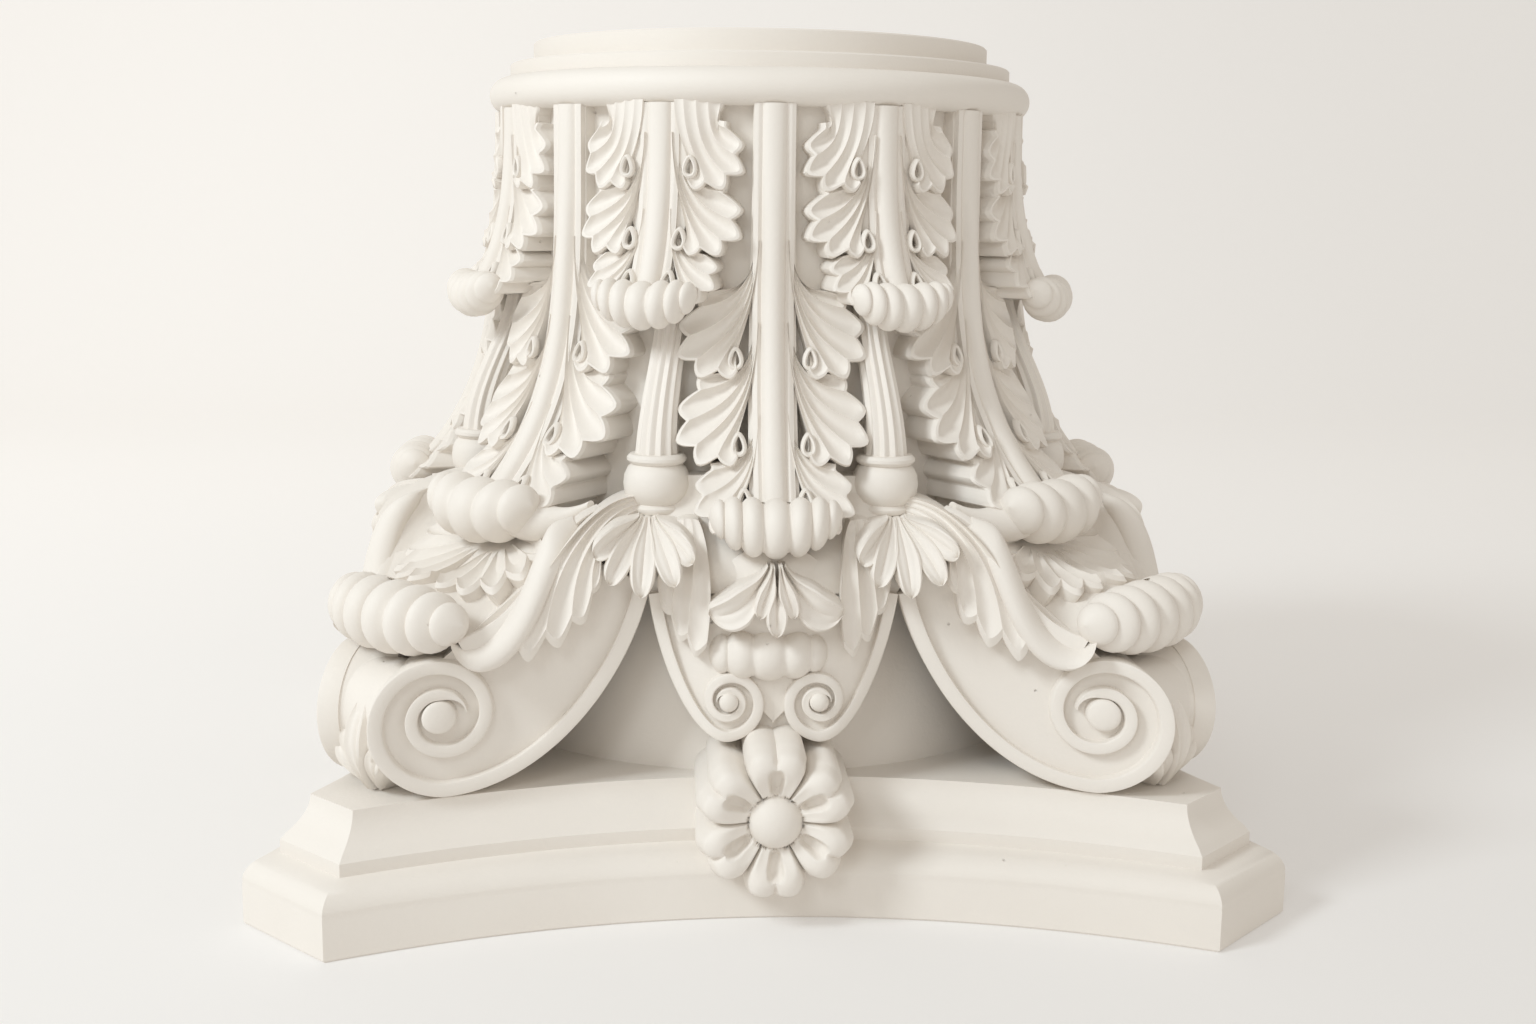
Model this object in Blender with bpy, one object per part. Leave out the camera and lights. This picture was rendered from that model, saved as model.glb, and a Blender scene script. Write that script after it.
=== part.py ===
"""A Corinthian capital cast in plaster, standing on its abacus.

Metres, +Z up. The origin is the centre of the underside, and the front of the capital is -Y.
The whole casting is one solid: the bell, the abacus and each carved form are closed shapes
that one Boolean union casts together.
"""
import bpy
import bmesh
import numpy as np
from collections import namedtuple
from math import cos, pi, radians, sin, sqrt, tan

# Abacus, the square slab with hollow sides that the capital stands on
ABACUS_REACH = 0.2844          # centre line to a side's outermost point, at the underside
ABACUS_CHAMFER = 0.052         # how far a corner is cut back, at the underside
ABACUS_HOLLOW = 0.0524         # depth of each hollow side
ABACUS_FACE = 0.024            # height of the upright face
ABACUS_OVOLO = 0.014           # height of the rounded edge
ABACUS_OVOLO_INSET = 0.0186
ABACUS_FILLET = 0.0086
ABACUS_FILLET_INSET = 0.0009
ABACUS_CAVETTO = 0.0226
ABACUS_CAVETTO_INSET = 0.0160
ABACUS_CHAMFER_TAKEN = 0.0249  # how much the corner cut shrinks from underside to top

# Bell, the vase that carries the leaves
NECK_RADIUS = 0.1525
LIP_RADIUS = 0.189
BELL_HEIGHT = 0.368            # abacus to astragal
FLARE_START = 0.72             # share of the bell's height where it starts to open
FLARE_BEND = 1.1

# Astragal and seat above the bell
ASTRAGAL_RADIUS = 0.1687
ASTRAGAL_HEIGHT = 0.021
NECK_FILLET_RADIUS = 0.1557
NECK_FILLET_HEIGHT = 0.0086
SEAT_RADIUS = 0.1414
SEAT_HEIGHT = 0.0132

# Acanthus leaves
LEAVES_IN_ROW = 8
RIB_HALF_WIDTH = 0.0065
RIB_HEIGHT = 0.006
LEAF_LIP = 0.004               # how far a finger's tip stands up
LEAF_NOTCH = 0.002             # how deep the cuts between fingers go
FAN_FIRST = -24.0              # degrees from level, the outermost finger of a fan
FAN_LAST = -48.0               # and the innermost
CURL_GROOVE = 0.0026           # depth of the grooves between the ribs of a curl
CURL_RIBS = 7
CURL_TAPER = 0.5               # how much thinner a roll is at its ends
CURL_ANGLES = (90.0, 20.0, -55.0, -140.0)
CURL_UNDERSIDE = 0.4           # where a leaf's back ends below its roll's axis, in radii
LAST_LEVEL = 1.3               # where the rib meets the roll above its axis, in radii
TOP_WIDTH = 0.8                # half width of a leaf's top, as a share of its first fan
FAN_GAP = 0.48                 # how far out two fans meet, as a share of the upper one
FAN_GAP_FALL = 0.8
FAN_NEAREST = 0.6              # reach of the shortest finger, as a share of the fan's length
FAN_SWELL = (0.12, 0.62)       # part of a half wave that the fingers' reach follows
FAN_NOTCH = 0.84               # reach of the cuts between fingers, as a share
LEAF_CORE = 0.8                # where a leaf's hidden middle lies, as a share of the neck

Row = namedtuple("Row", "turn top curl_height root reach bend curl half_curl fans")
Fan = namedtuple("Fan", "height length fingers")

SMALL_ROW = Row(turn=22.5, top=0.433, curl_height=0.329, root=0.0125, reach=0.023, bend=3.5,
                curl=0.0145, half_curl=0.031,
                fans=(Fan(0.433, 0.058, 3), Fan(0.402, 0.056, 3), Fan(0.366, 0.041, 2)))
TALL_ROW = Row(turn=0.0, top=0.436, curl_height=0.214, root=0.0115, reach=0.055, bend=4.2,
               curl=0.0165, half_curl=0.036,
               fans=(Fan(0.338, 0.060, 2), Fan(0.296, 0.060, 3), Fan(0.251, 0.043, 3)))

# Stalks between the tall leaves
STALK_TURN = 20.5
STALK_TOP = 0.318
STALK_RADIUS = 0.0085
STALK_FLUTES = 5
STALK_FLUTE_DEPTH = 0.0016
COLLAR_HEIGHT = 0.245
COLLAR_DROP = 0.030
COLLAR_RADIUS = 0.0175
COLLAR_EDGE = 0.1              # height of a collar's slope, as a share of its drop
CALYX_DROP = 0.048
CALYX_RADIUS = 0.028
STALK_BASE = 0.72              # radius just above and below the collar, as a share of it
# How far a stalk's axis stands off the bell: shares of its own radius there
STALK_STAND_OFF = (0.3, 0.75, 0.6)
# Calyx, from collar to tips: share of the drop, share of the radius, flutes' depths
CALYX_PROFILE = ((0.6, 0.86, 1.4), (1.0, 0.84, 2.2))

# Faces of the volutes follow the hollow of the abacus
FACE_AT_MIDDLE = 0.205
FACE_ARC_RADIUS = 0.575
VOLUTE_CENTRE = 0.177          # sideways from the middle of the side
VOLUTE_RADIUS = 0.044
SCROLL_RIM = 0.0085
SCROLL_STEP = 0.0055
SCROLL_SHRINK = 0.5            # radius kept on each whole turn
SCROLL_TURNS = 1.6
FORK_SIDEWAYS = 0.068          # where a volute and a helix part
FORK_HEIGHT = 0.176
FORK_HALF_GAP = 0.001
HELIX_CENTRE = 0.0245
HELIX_RADIUS = 0.0225
HELIX_BOTTOM = 0.097
HELIX_PROUD = 0.018            # how far the helices stand in front of the volutes' faces
HELIX_TURNS = 1.4
SCROLL_LEAVE = (0.11, 0.46)    # how a scroll leaves the fork: shares of its run and its drop
SCROLL_ARRIVE = 0.5            # how long it runs level into its lowest point
SCROLL_HOOD = 0.45             # where a volute's body passes under the corner leaf
SCROLL_RIM_END = 0.62          # width of a rim where it ends, as a share of its start
SCROLL_EYE = 0.009
SWEEP_STEPS = 5
TURN_STEPS = 10
SEAT_SINK = 0.001              # clearance between a volute's rim and the abacus
BODY_SHARE = 0.965             # a scroll's body, drawn in behind its rim
BODY_BACK = 0.150              # where the scrolls end inside the bell

# Leaf lobes that hang over the scrolls, as (sideways, height)
OUTER_LOBE_ROOT = (0.108, 0.214)
OUTER_LOBE_TIPS = ((0.096, 0.181), (0.104, 0.162), (0.118, 0.149), (0.131, 0.143))
INNER_LOBE_ROOT = (0.040, 0.212)
INNER_LOBE_TIPS = ((0.060, 0.165), (0.051, 0.149), (0.041, 0.140))
LOBE_LIFT = 0.008
LOBE_SHOULDER = 0.5            # where a lobe's outline leaves its outer fingers
LOBE_MIDDLE = 0.35
LOBE_NOTCH = 0.86              # reach of the cuts between a lobe's fingers, as a share

# Corner leaves
HORN_HALF_WIDTH = 0.043
CORNER_CURL_REACH = 0.295      # centre line to the curl, on the diagonal
CORNER_CURL_HEIGHT = 0.165
CORNER_CURL = 0.0225
CORNER_HALF_CURL = 0.049
CORNER_RIBS = 6
CORNER_LEAF_TOP = 0.178
# Blade of a corner leaf: share of the curl's reach, share of its half width, rise
CORNER_BLADE = ((0.62, 1.60, 0.034), (0.72, 1.72, 0.016), (0.82, 1.38, 0.001),
                (0.91, 1.08, -0.002), (0.98, 0.88, 0.004))
# Top of a blade's section, from edge to middle: share of its half width, fall from its top
BLADE_SECTION = ((1.0, 0.024), (0.75, 0.006), (0.4, 0.009))
BLADE_UNDERSIDE = 0.9          # how far under the curl's axis the blade ends, in its radii
# Horn from the bell to the curl: share of the curl's reach, share of its half width
HORN_SHAPE = ((0.475, 1.0), (0.86, 0.8), (1.0, 0.5))
SADDLE_LEAF_FRONT = 0.322
SADDLE_LEAF_HEIGHT = 0.049
SADDLE_LEAF_HALF_WIDTH = 0.014
SADDLE_LEAF_DEPTH = 0.040
SADDLE_LEAF_SLOPE = 0.3        # how fast its front falls back to the sides
# Half of its outline from the foot up: share of the half width, share of the height
SADDLE_LEAF_OUTLINE = ((0.8, 0.0), (0.9, 0.55), (0.5, 0.6))

# Middle of each side
BUD_CURL = 0.0135
BUD_HALF_CURL = 0.030
BUD_RIBS = 5
BUD_HEIGHT = 0.1445
BUD_FRONT = 0.229
BUD_LEAF_HALF_WIDTH = 0.039
BUD_LEAF_FOOT = 0.8            # its foot's width as a share
BUD_LEAF_SHOULDER = 0.35       # where it is full width, as a share of its height
ROSETTE_HEIGHT = 0.064
ROSETTE_RADIUS = 0.045
ROSETTE_PETALS = 6
ROSETTE_FRONT = 0.252
ROSETTE_BACK = 0.178
ROSETTE_LOBES = (0.93, 1.0, 0.80, 1.0)   # reach of a petal's notch, lobe, gap and lobe
# Hollow and dome inside the petals: share of the radius, how far in front of ROSETTE_FRONT
ROSETTE_CUP = ((0.48, -0.010), (1.0 / 3.0, -0.006), (0.2, 0.004))
ROSETTE_CREST = 0.78           # where the petals stand highest, as a share of the radius
ROSETTE_EDGE = 0.006           # how far their outline lies behind that

ABACUS_HEIGHT = ABACUS_FACE + ABACUS_OVOLO + ABACUS_FILLET + ABACUS_CAVETTO
ASTRAGAL_FOOT = ABACUS_HEIGHT + BELL_HEIGHT
ROUND_STEPS = 40
BELL_STEPS = 24
TRIM_RATIO = 0.335             # share of the union's triangles that is kept
ROLL_ANGLES = (-120.0, -60.0, 0.0, 60.0, 150.0)
EMBED = 0.006                  # how far one form runs into the next before they are cast together


def clear_scene():
    """Remove every object of the scene that the script starts in."""
    for thing in list(bpy.data.objects):
        bpy.data.objects.remove(thing, do_unlink=True)


def plaster():
    """Warm off-white plaster, matt."""
    material = bpy.data.materials.new("plaster")
    material.use_nodes = True
    shader = material.node_tree.nodes["Principled BSDF"]
    shader.inputs["Base Color"].default_value = (0.82, 0.79, 0.74, 1.0)
    shader.inputs["Roughness"].default_value = 0.72
    shader.inputs["Metallic"].default_value = 0.0
    return material


def bell_radius(height):
    """Radius of the bell at a height: the neck below the astragal, opening to the lip."""
    share = np.clip((np.asarray(height, float) - ABACUS_HEIGHT) / BELL_HEIGHT, 0.0, 1.0)
    flare = np.clip(1.0 - share / FLARE_START, 0.0, 1.0) ** FLARE_BEND
    return NECK_RADIUS + (LIP_RADIUS - NECK_RADIUS) * flare


def face_depth(sideways):
    """Distance of a volute's face in front of the centre line, on the side's hollow arc."""
    drop = FACE_ARC_RADIUS - np.sqrt(FACE_ARC_RADIUS ** 2 - np.asarray(sideways, float) ** 2)
    return FACE_AT_MIDDLE + drop


def helix_depth(sideways):
    """The same face, swelling forward from the fork to the helices beside the middle."""
    away = np.clip(np.abs(sideways) - HELIX_CENTRE, 0.0, None) / (FORK_SIDEWAYS - HELIX_CENTRE)
    return face_depth(sideways) + HELIX_PROUD * np.clip(1.0 - away, 0.0, 1.0)


def loft(rings):
    """Closed shape through rings of points, with a fan of faces on both ends."""
    rings = np.asarray(rings, float)
    count, sides = rings.shape[:2]
    points = np.concatenate([rings.reshape(-1, 3), rings[[0, -1]].mean(axis=1)])
    faces = []
    for ring in range(count - 1):
        for side in range(sides):
            after = (side + 1) % sides
            faces.append((ring * sides + side, ring * sides + after,
                          (ring + 1) * sides + after, (ring + 1) * sides + side))
    first, last = count * sides, count * sides + 1
    for side in range(sides):
        after = (side + 1) % sides
        faces.append((first, after, side))
        faces.append((last, (count - 1) * sides + side, (count - 1) * sides + after))
    return points, faces


def slab(front, back, faces, border):
    """Closed shape between a front and a back that share their faces and border."""
    count = len(front)
    points = np.concatenate([front, back])
    closed = [tuple(face) for face in faces]
    closed += [tuple(index + count for index in reversed(face)) for face in faces]
    for index, here in enumerate(border):
        after = border[(index + 1) % len(border)]
        closed.append((after, here, here + count, after + count))
    return points, closed


def turned(outline, steps):
    """Closed lathe shape about the centre line from (radius, height) points."""
    angles = np.arange(steps) * 2.0 * pi / steps
    rings = [np.stack([radius * np.cos(angles), radius * np.sin(angles),
                       np.full(steps, height)], axis=-1) for radius, height in outline]
    return loft(rings)


def handed(shape, hand):
    """The shape, or for a hand of -1 its mirror image in the plane X = 0."""
    points, faces = shape
    if hand > 0.0:
        return points, faces
    return points * np.array([-1.0, 1.0, 1.0]), [tuple(reversed(face)) for face in faces]


def mirrored(shape):
    """The shape and its mirror image in the plane X = 0."""
    points, faces = shape
    flipped, flipped_faces = handed(shape, -1.0)
    shift = len(points)
    return np.concatenate([points, flipped]), \
        faces + [tuple(index + shift for index in face) for face in flipped_faces]


def around(shape, count, turn=0.0):
    """Copies of the shape, evenly turned about the centre line."""
    points, faces = shape
    all_points, all_faces = [], []
    for copy in range(count):
        angle = radians(turn) + copy * 2.0 * pi / count
        spin = np.array([[cos(angle), -sin(angle), 0.0], [sin(angle), cos(angle), 0.0],
                         [0.0, 0.0, 1.0]])
        all_points.append(points @ spin.T)
        all_faces += [tuple(index + copy * len(points) for index in face) for face in faces]
    return np.concatenate(all_points), all_faces


def make_object(name, shape, material):
    """A mesh object from points and faces, with its faces turned outwards."""
    points, faces = shape
    mesh = bpy.data.meshes.new(name)
    mesh.from_pydata([tuple(point) for point in points], [], faces)
    body = bmesh.new()
    body.from_mesh(mesh)
    bmesh.ops.triangulate(body, faces=body.faces)
    bmesh.ops.recalc_face_normals(body, faces=body.faces)
    body.to_mesh(mesh)
    body.free()
    mesh.materials.append(material)
    thing = bpy.data.objects.new(name, mesh)
    bpy.context.scene.collection.objects.link(thing)
    return thing


def abacus():
    """The slab: one hollow-sided outline per moulding height, drawn in as it rises."""
    ovolo_top = ABACUS_FACE + ABACUS_OVOLO
    fillet_top = ovolo_top + ABACUS_FILLET
    levels = [(0.0, 0.0), (ABACUS_FACE, 0.0)]
    for step in (0.35, 0.7, 1.0):
        levels.append((ABACUS_FACE + ABACUS_OVOLO * step,
                       ABACUS_OVOLO_INSET * (1.0 - sqrt(1.0 - step ** 2))))
    fillet_inset = ABACUS_OVOLO_INSET + ABACUS_FILLET_INSET
    levels.append((fillet_top, fillet_inset))
    for step in (0.25, 0.6, 1.0):
        levels.append((fillet_top + ABACUS_CAVETTO * step,
                       fillet_inset + ABACUS_CAVETTO_INSET * (1.0 - (1.0 - step) ** 2)))
    whole_inset = fillet_inset + ABACUS_CAVETTO_INSET
    rings = []
    for height, inset in levels:
        reach = ABACUS_REACH - inset
        corner = reach - ABACUS_CHAMFER + ABACUS_CHAMFER_TAKEN * inset / whole_inset
        shares = np.linspace(-1.0, 1.0, 9)
        side = np.stack([corner * shares, -reach + ABACUS_HOLLOW * (1.0 - shares ** 2),
                         np.full(9, height)], axis=-1)
        ring = []
        for quarter in range(4):
            angle = quarter * pi / 2.0
            spin = np.array([[cos(angle), -sin(angle), 0.0], [sin(angle), cos(angle), 0.0],
                             [0.0, 0.0, 1.0]])
            ring.append(side @ spin.T)
        rings.append(np.concatenate(ring))
    return loft(rings)


def bell():
    """The vase that the leaves stand on. They cover most of it, so it has few facets."""
    outline = [(LIP_RADIUS - EMBED, ABACUS_HEIGHT - 2.0 * EMBED)]
    for share in (0.0, 0.3, FLARE_START):
        height = ABACUS_HEIGHT + BELL_HEIGHT * share
        outline.append((float(bell_radius(height)), height))
    outline.append((NECK_RADIUS, ASTRAGAL_FOOT + EMBED))
    return turned(outline, BELL_STEPS)


def astragal():
    """The half-round ring above the bell, its fillet and the seat on top."""
    half = ASTRAGAL_HEIGHT / 2.0
    outline = []
    for angle in np.linspace(-70.0, 70.0, 4):
        outline.append((ASTRAGAL_RADIUS - half + half * cos(radians(angle)),
                        ASTRAGAL_FOOT + half + half * sin(radians(angle))))
    fillet_foot = ASTRAGAL_FOOT + ASTRAGAL_HEIGHT
    seat_foot = fillet_foot + NECK_FILLET_HEIGHT
    outline += [(NECK_FILLET_RADIUS, fillet_foot), (NECK_FILLET_RADIUS, seat_foot),
                (SEAT_RADIUS, seat_foot), (SEAT_RADIUS, seat_foot + SEAT_HEIGHT)]
    return turned(outline, ROUND_STEPS)


def fan_outline(root, fan):
    """Tips and notches of a fan of fingers that spread from a point beside the rib.

    The fingers turn from nearly level to steep, the middle ones longest. Each point is
    (across, height, lift).
    """
    steps = np.linspace(0.0, 1.0, 2 * fan.fingers - 1)
    angles = np.radians(FAN_FIRST + (FAN_LAST - FAN_FIRST) * steps)
    swell = np.sin(pi * (FAN_SWELL[0] + FAN_SWELL[1] * steps))
    reach = fan.length * (FAN_NEAREST + (1.0 - FAN_NEAREST) * swell)
    notch = np.arange(len(steps)) % 2 == 1
    reach = reach * np.where(notch, FAN_NOTCH, 1.0)
    lift = np.where(notch, -LEAF_NOTCH, LEAF_LIP)
    return [(root[0] + length * cos(angle), root[1] + length * sin(angle), rise)
            for length, angle, rise in zip(reach, angles, lift)]


def curl_radius(row, share):
    """Radius of a leaf's rolled tip: thinner towards its ends, share from -1 to 1."""
    return row.curl * (1.0 - CURL_TAPER * abs(share) ** 3.0)


def stitch(upper, lower):
    """Triangles between two rows of points that run the same way."""
    faces = []
    here, there = 0, 0
    while here < len(upper) - 1 or there < len(lower) - 1:
        along_upper = (here + 1) / max(len(upper) - 1, 1)
        along_lower = (there + 1) / max(len(lower) - 1, 1)
        if there == len(lower) - 1 or (here < len(upper) - 1 and along_upper <= along_lower):
            faces.append((upper[here], lower[there], upper[here + 1]))
            here += 1
        else:
            faces.append((upper[here], lower[there], lower[there + 1]))
            there += 1
    return faces


class LeafShape:
    """Points and faces of one acanthus leaf whose tip rolls forward.

    The front has a raised rib and, on each side, fans of fingers with a cut outline. It lies
    on a profile that leaves the bell, radius = root + reach * fall ** bend, and ends in the
    roll, whose ribs and grooves run over the tip. The back is inside the bell. Points are
    (angle, radius, height) about the centre line.
    """

    def __init__(self, row):
        self.row = row
        self.points = []
        self.faces = []
        self.curl_centre = NECK_RADIUS + row.root + row.reach
        self.levels = [fan.height for fan in row.fans]
        self.levels.append(row.curl_height + LAST_LEVEL * row.curl)
        if row.top > self.levels[0]:
            self.levels.insert(0, row.top)
        self.first_fan = len(self.levels) - 1 - len(row.fans)

    def add(self, angle, radius, height):
        """Keep a point and give its number."""
        self.points.append((angle, radius, height))
        return len(self.points) - 1

    def on_leaf(self, across, height, lift):
        """A point of the leaf's front, lifted off its profile."""
        row = self.row
        fall = min(max((row.top - height) / (row.top - row.curl_height), 0.0), 1.0)
        radius = NECK_RADIUS + row.root + row.reach * fall ** row.bend
        return self.add(across / radius, radius + lift, height)

    def on_curl(self, share, angle, size):
        """A point round the rolled tip, at a share of its half length."""
        return self.add(share * self.row.half_curl / self.curl_centre,
                        self.curl_centre + size * cos(angle),
                        self.row.curl_height + size * sin(angle))

    def in_bell(self, angle, height):
        """A hidden point just under the bell's surface."""
        return self.add(angle, float(bell_radius(height)) - EMBED, height)

    def fan_points(self, index, fan):
        """The cut outline of a fan, and the point where the next fan starts under it."""
        outline = fan_outline((RIB_HALF_WIDTH, self.levels[self.first_fan + index]), fan)
        if index < len(self.row.fans) - 1:
            gap = FAN_GAP * fan.length
            fall = FAN_GAP_FALL * gap * tan(radians(FAN_FIRST))
            outline.append((RIB_HALF_WIDTH + gap, self.levels[self.first_fan + index + 1] + fall,
                            -LEAF_NOTCH))
        return outline

    def front(self, side, ribs):
        """One half of the front: its rib's flank and its fans. Gives the flank and the edge."""
        flank = [self.on_leaf(side * RIB_HALF_WIDTH, height, 0.0) for height in self.levels]
        for index in range(len(self.levels) - 1):
            self.faces.append((ribs[index], flank[index], flank[index + 1], ribs[index + 1]))
        if self.first_fan:
            edge = [flank[0], flank[1]]
        else:
            width = TOP_WIDTH * self.row.fans[0].length
            edge = [flank[0], self.on_leaf(side * width, self.row.top, 0.0)]
        for index, fan in enumerate(self.row.fans):
            root = flank[self.first_fan + index]
            for across, height, lift in self.fan_points(index, fan):
                after = self.on_leaf(side * across, height, lift)
                if edge[-1] != root:
                    self.faces.append((root, edge[-1], after))
                edge.append(after)
            self.faces.append((root, edge[-1], flank[self.first_fan + index + 1]))
        return flank, edge

    def curl(self, shoulder):
        """The roll's rows of ribs and grooves, joined to the leaf's shoulder."""
        shares = np.linspace(-1.0, 1.0, 2 * CURL_RIBS + 1)
        rows = []
        for angle in np.radians(CURL_ANGLES):
            rows.append([self.on_curl(share, angle, curl_radius(self.row, share)
                                      - (CURL_GROOVE if index % 2 == 0 else 0.0))
                         for index, share in enumerate(shares)])
        self.faces += stitch(shoulder, rows[0])
        for upper, lower in zip(rows[:-1], rows[1:]):
            self.faces += stitch(upper, lower)
        return rows

    def wall(self, front, back):
        """Side faces from the front's edge to the points in the bell."""
        for index in range(len(front) - 1):
            self.faces.append((front[index], front[index + 1], back[index + 1], back[index]))

    def fan_of(self, middle, ring):
        """Triangles from a middle point to a closed ring."""
        for index, here in enumerate(ring):
            self.faces.append((middle, here, ring[(index + 1) % len(ring)]))

    def close(self, rib_top, edges, rows):
        """The hidden back, and the two ends of the roll."""
        right = edges[1.0] + [rows[0][-1]]
        left = edges[-1.0] + [rows[0][0]]
        backs = {}
        for index in [rib_top] + right + left:
            angle, _, height = self.points[index]
            backs[index] = self.in_bell(angle, height)
        for border in (right, left):
            front = [rib_top] + border
            self.wall(front, [backs[index] for index in front])
        under = self.row.curl_height - CURL_UNDERSIDE * self.row.curl
        middle = len(rows[0]) // 2
        foot = [self.in_bell(self.points[rows[0][end]][0], under) for end in (0, middle, -1)]
        for share, end, below in ((-1.0, 0, foot[0]), (1.0, -1, foot[2])):
            ring = [line[end] for line in rows] + [below, backs[rows[0][end]]]
            self.fan_of(self.on_curl(share, 0.0, 0.0), ring)
        self.faces += stitch(rows[-1], foot)
        loop = [backs[index] for index in [rib_top] + right] + foot[::-1] \
            + [backs[index] for index in reversed(left)]
        middle_height = 0.5 * (self.row.curl_height + self.row.top)
        self.fan_of(self.add(0.0, LEAF_CORE * NECK_RADIUS, middle_height), loop)


def leaf(row):
    """The closed shape of one leaf, turned to its place in the row."""
    shape = LeafShape(row)
    ribs = [shape.on_leaf(0.0, height, RIB_HEIGHT) for height in shape.levels]
    flanks = {}
    edges = {}
    for side in (1.0, -1.0):
        flanks[side], edges[side] = shape.front(side, ribs)
    rows = shape.curl([edges[-1.0][-1], flanks[-1.0][-1], ribs[-1], flanks[1.0][-1],
                       edges[1.0][-1]])
    shape.close(ribs[0], edges, rows)
    angle, radius, height = np.array(shape.points).T
    angle = angle + radians(row.turn)
    points = np.stack([radius * np.sin(angle), -radius * np.cos(angle), height], axis=-1)
    return points, shape.faces


def roll(front, height, half_length, radius, ribs):
    """A rolled leaf tip on a level axis at the front: rings along it, tall on each rib.

    The roll thins towards both ends.
    """
    rings = []
    for index in range(2 * ribs + 1):
        share = index / ribs - 1.0
        size = radius * (1.0 - CURL_TAPER * abs(share) ** 3.0)
        if index % 2 == 0:
            size -= CURL_GROOVE
        rings.append([(half_length * share, -front - size * cos(angle),
                       height + size * sin(angle)) for angle in np.radians(ROLL_ANGLES)])
    return loft(rings)


def standing_ring(height, radius, flutes, depth, out):
    """A level ring about a stalk's axis, with a point on each flute and in each groove."""
    angles = np.arange(2 * flutes) * pi / flutes
    size = radius + depth * np.cos(flutes * angles)
    return np.stack([size * np.sin(angles), -out - size * np.cos(angles),
                     np.full(2 * flutes, height)], axis=-1)


def stalk():
    """The fluted stalk, its collar and the calyx of petals that opens under it."""
    collar_foot = COLLAR_HEIGHT - COLLAR_DROP
    calyx_foot = collar_foot - CALYX_DROP
    at_top, at_collar, at_calyx = STALK_STAND_OFF
    out_top = float(bell_radius(STALK_TOP)) + at_top * STALK_RADIUS
    out_collar = float(bell_radius(COLLAR_HEIGHT)) + at_collar * COLLAR_RADIUS
    out_calyx = float(bell_radius(calyx_foot)) + at_calyx * CALYX_RADIUS
    base = STALK_BASE * COLLAR_RADIUS
    edge = COLLAR_EDGE * COLLAR_DROP
    shapes = [
        (STALK_TOP, STALK_RADIUS, STALK_FLUTE_DEPTH, out_top),
        (COLLAR_HEIGHT, base, STALK_FLUTE_DEPTH, out_collar),
        (COLLAR_HEIGHT - edge, COLLAR_RADIUS, 0.0, out_collar),
        (collar_foot + edge, COLLAR_RADIUS, 0.0, out_collar),
        (collar_foot, base, STALK_FLUTE_DEPTH, out_collar),
    ]
    for drop, size, flutes in CALYX_PROFILE:
        shapes.append((collar_foot - drop * CALYX_DROP, size * CALYX_RADIUS,
                       flutes * STALK_FLUTE_DEPTH, out_calyx))
    return loft([standing_ring(height, radius, STALK_FLUTES, depth, out)
                 for height, radius, depth, out in shapes])


def bezier(points, count):
    """Points along a cubic curve, without its last one."""
    share = np.linspace(0.0, 1.0, count, endpoint=False)[:, None]
    start, leave, arrive, end = (np.asarray(point, float) for point in points)
    return ((1.0 - share) ** 3 * start + 3.0 * share * (1.0 - share) ** 2 * leave
            + 3.0 * share ** 2 * (1.0 - share) * arrive + share ** 3 * end)


def scroll_path(centre, bottom, radius, towards, turns):
    """Outer edge of a scroll in the side's flat (sideways, height) plane.

    An easy curve from the fork to the scroll's lowest point, then a spiral whose radius keeps
    the same share of itself on each turn.
    """
    start = FORK_SIDEWAYS + towards * FORK_HALF_GAP
    run = abs(centre - start)
    drop = FORK_HEIGHT - bottom
    sweep = bezier(((start, FORK_HEIGHT),
                    (start + towards * SCROLL_LEAVE[0] * run,
                     FORK_HEIGHT - SCROLL_LEAVE[1] * drop),
                    (centre - towards * SCROLL_ARRIVE * run, bottom), (centre, bottom)),
                   SWEEP_STEPS)
    turn = np.linspace(0.0, turns, int(round(turns * TURN_STEPS)) + 1)
    size = radius * SCROLL_SHRINK ** turn
    spiral = np.stack([centre + towards * size * np.sin(2.0 * pi * turn),
                       bottom + radius - size * np.cos(2.0 * pi * turn)], axis=-1)
    return np.concatenate([sweep, spiral])


def scroll_rim(path, depth_of, towards):
    """The raised rim of a scroll: a square band just inside its outer edge."""
    ahead = np.gradient(path, axis=0)
    ahead /= np.linalg.norm(ahead, axis=1)[:, None]
    inward = towards * np.stack([-ahead[:, 1], ahead[:, 0]], axis=-1)
    width = SCROLL_RIM * np.linspace(1.0, SCROLL_RIM_END, len(path))[:, None]
    inner = path + inward * width
    deep = 2.0 * SCROLL_STEP
    rings = []
    for outside, inside in zip(path, inner):
        front_out, front_in = float(depth_of(outside[0])), float(depth_of(inside[0]))
        rings.append([(outside[0], -front_out, outside[1]), (inside[0], -front_in, inside[1]),
                      (inside[0], -front_in + deep, inside[1]),
                      (outside[0], -front_out + deep, outside[1])])
    return loft(rings)


def wall_form(outline, front, back, centre=None):
    """An upright form: a flat (sideways, height) outline between a front and a back.

    Front and back are functions of the sideways distance, and centre is (sideways, height).
    """
    outline = np.asarray(outline, float)
    middle = outline.mean(axis=0) if centre is None else np.asarray(centre, float)
    flat = np.concatenate([outline, middle[None]])
    ahead = np.array([[point[0], -float(front(point[0])), point[1]] for point in flat])
    behind = np.array([[point[0], -float(back(point[0])), point[1]] for point in flat])
    count = len(outline)
    faces = [(index, (index + 1) % count, count) for index in range(count)]
    return slab(ahead, behind, faces, list(range(count)))


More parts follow.
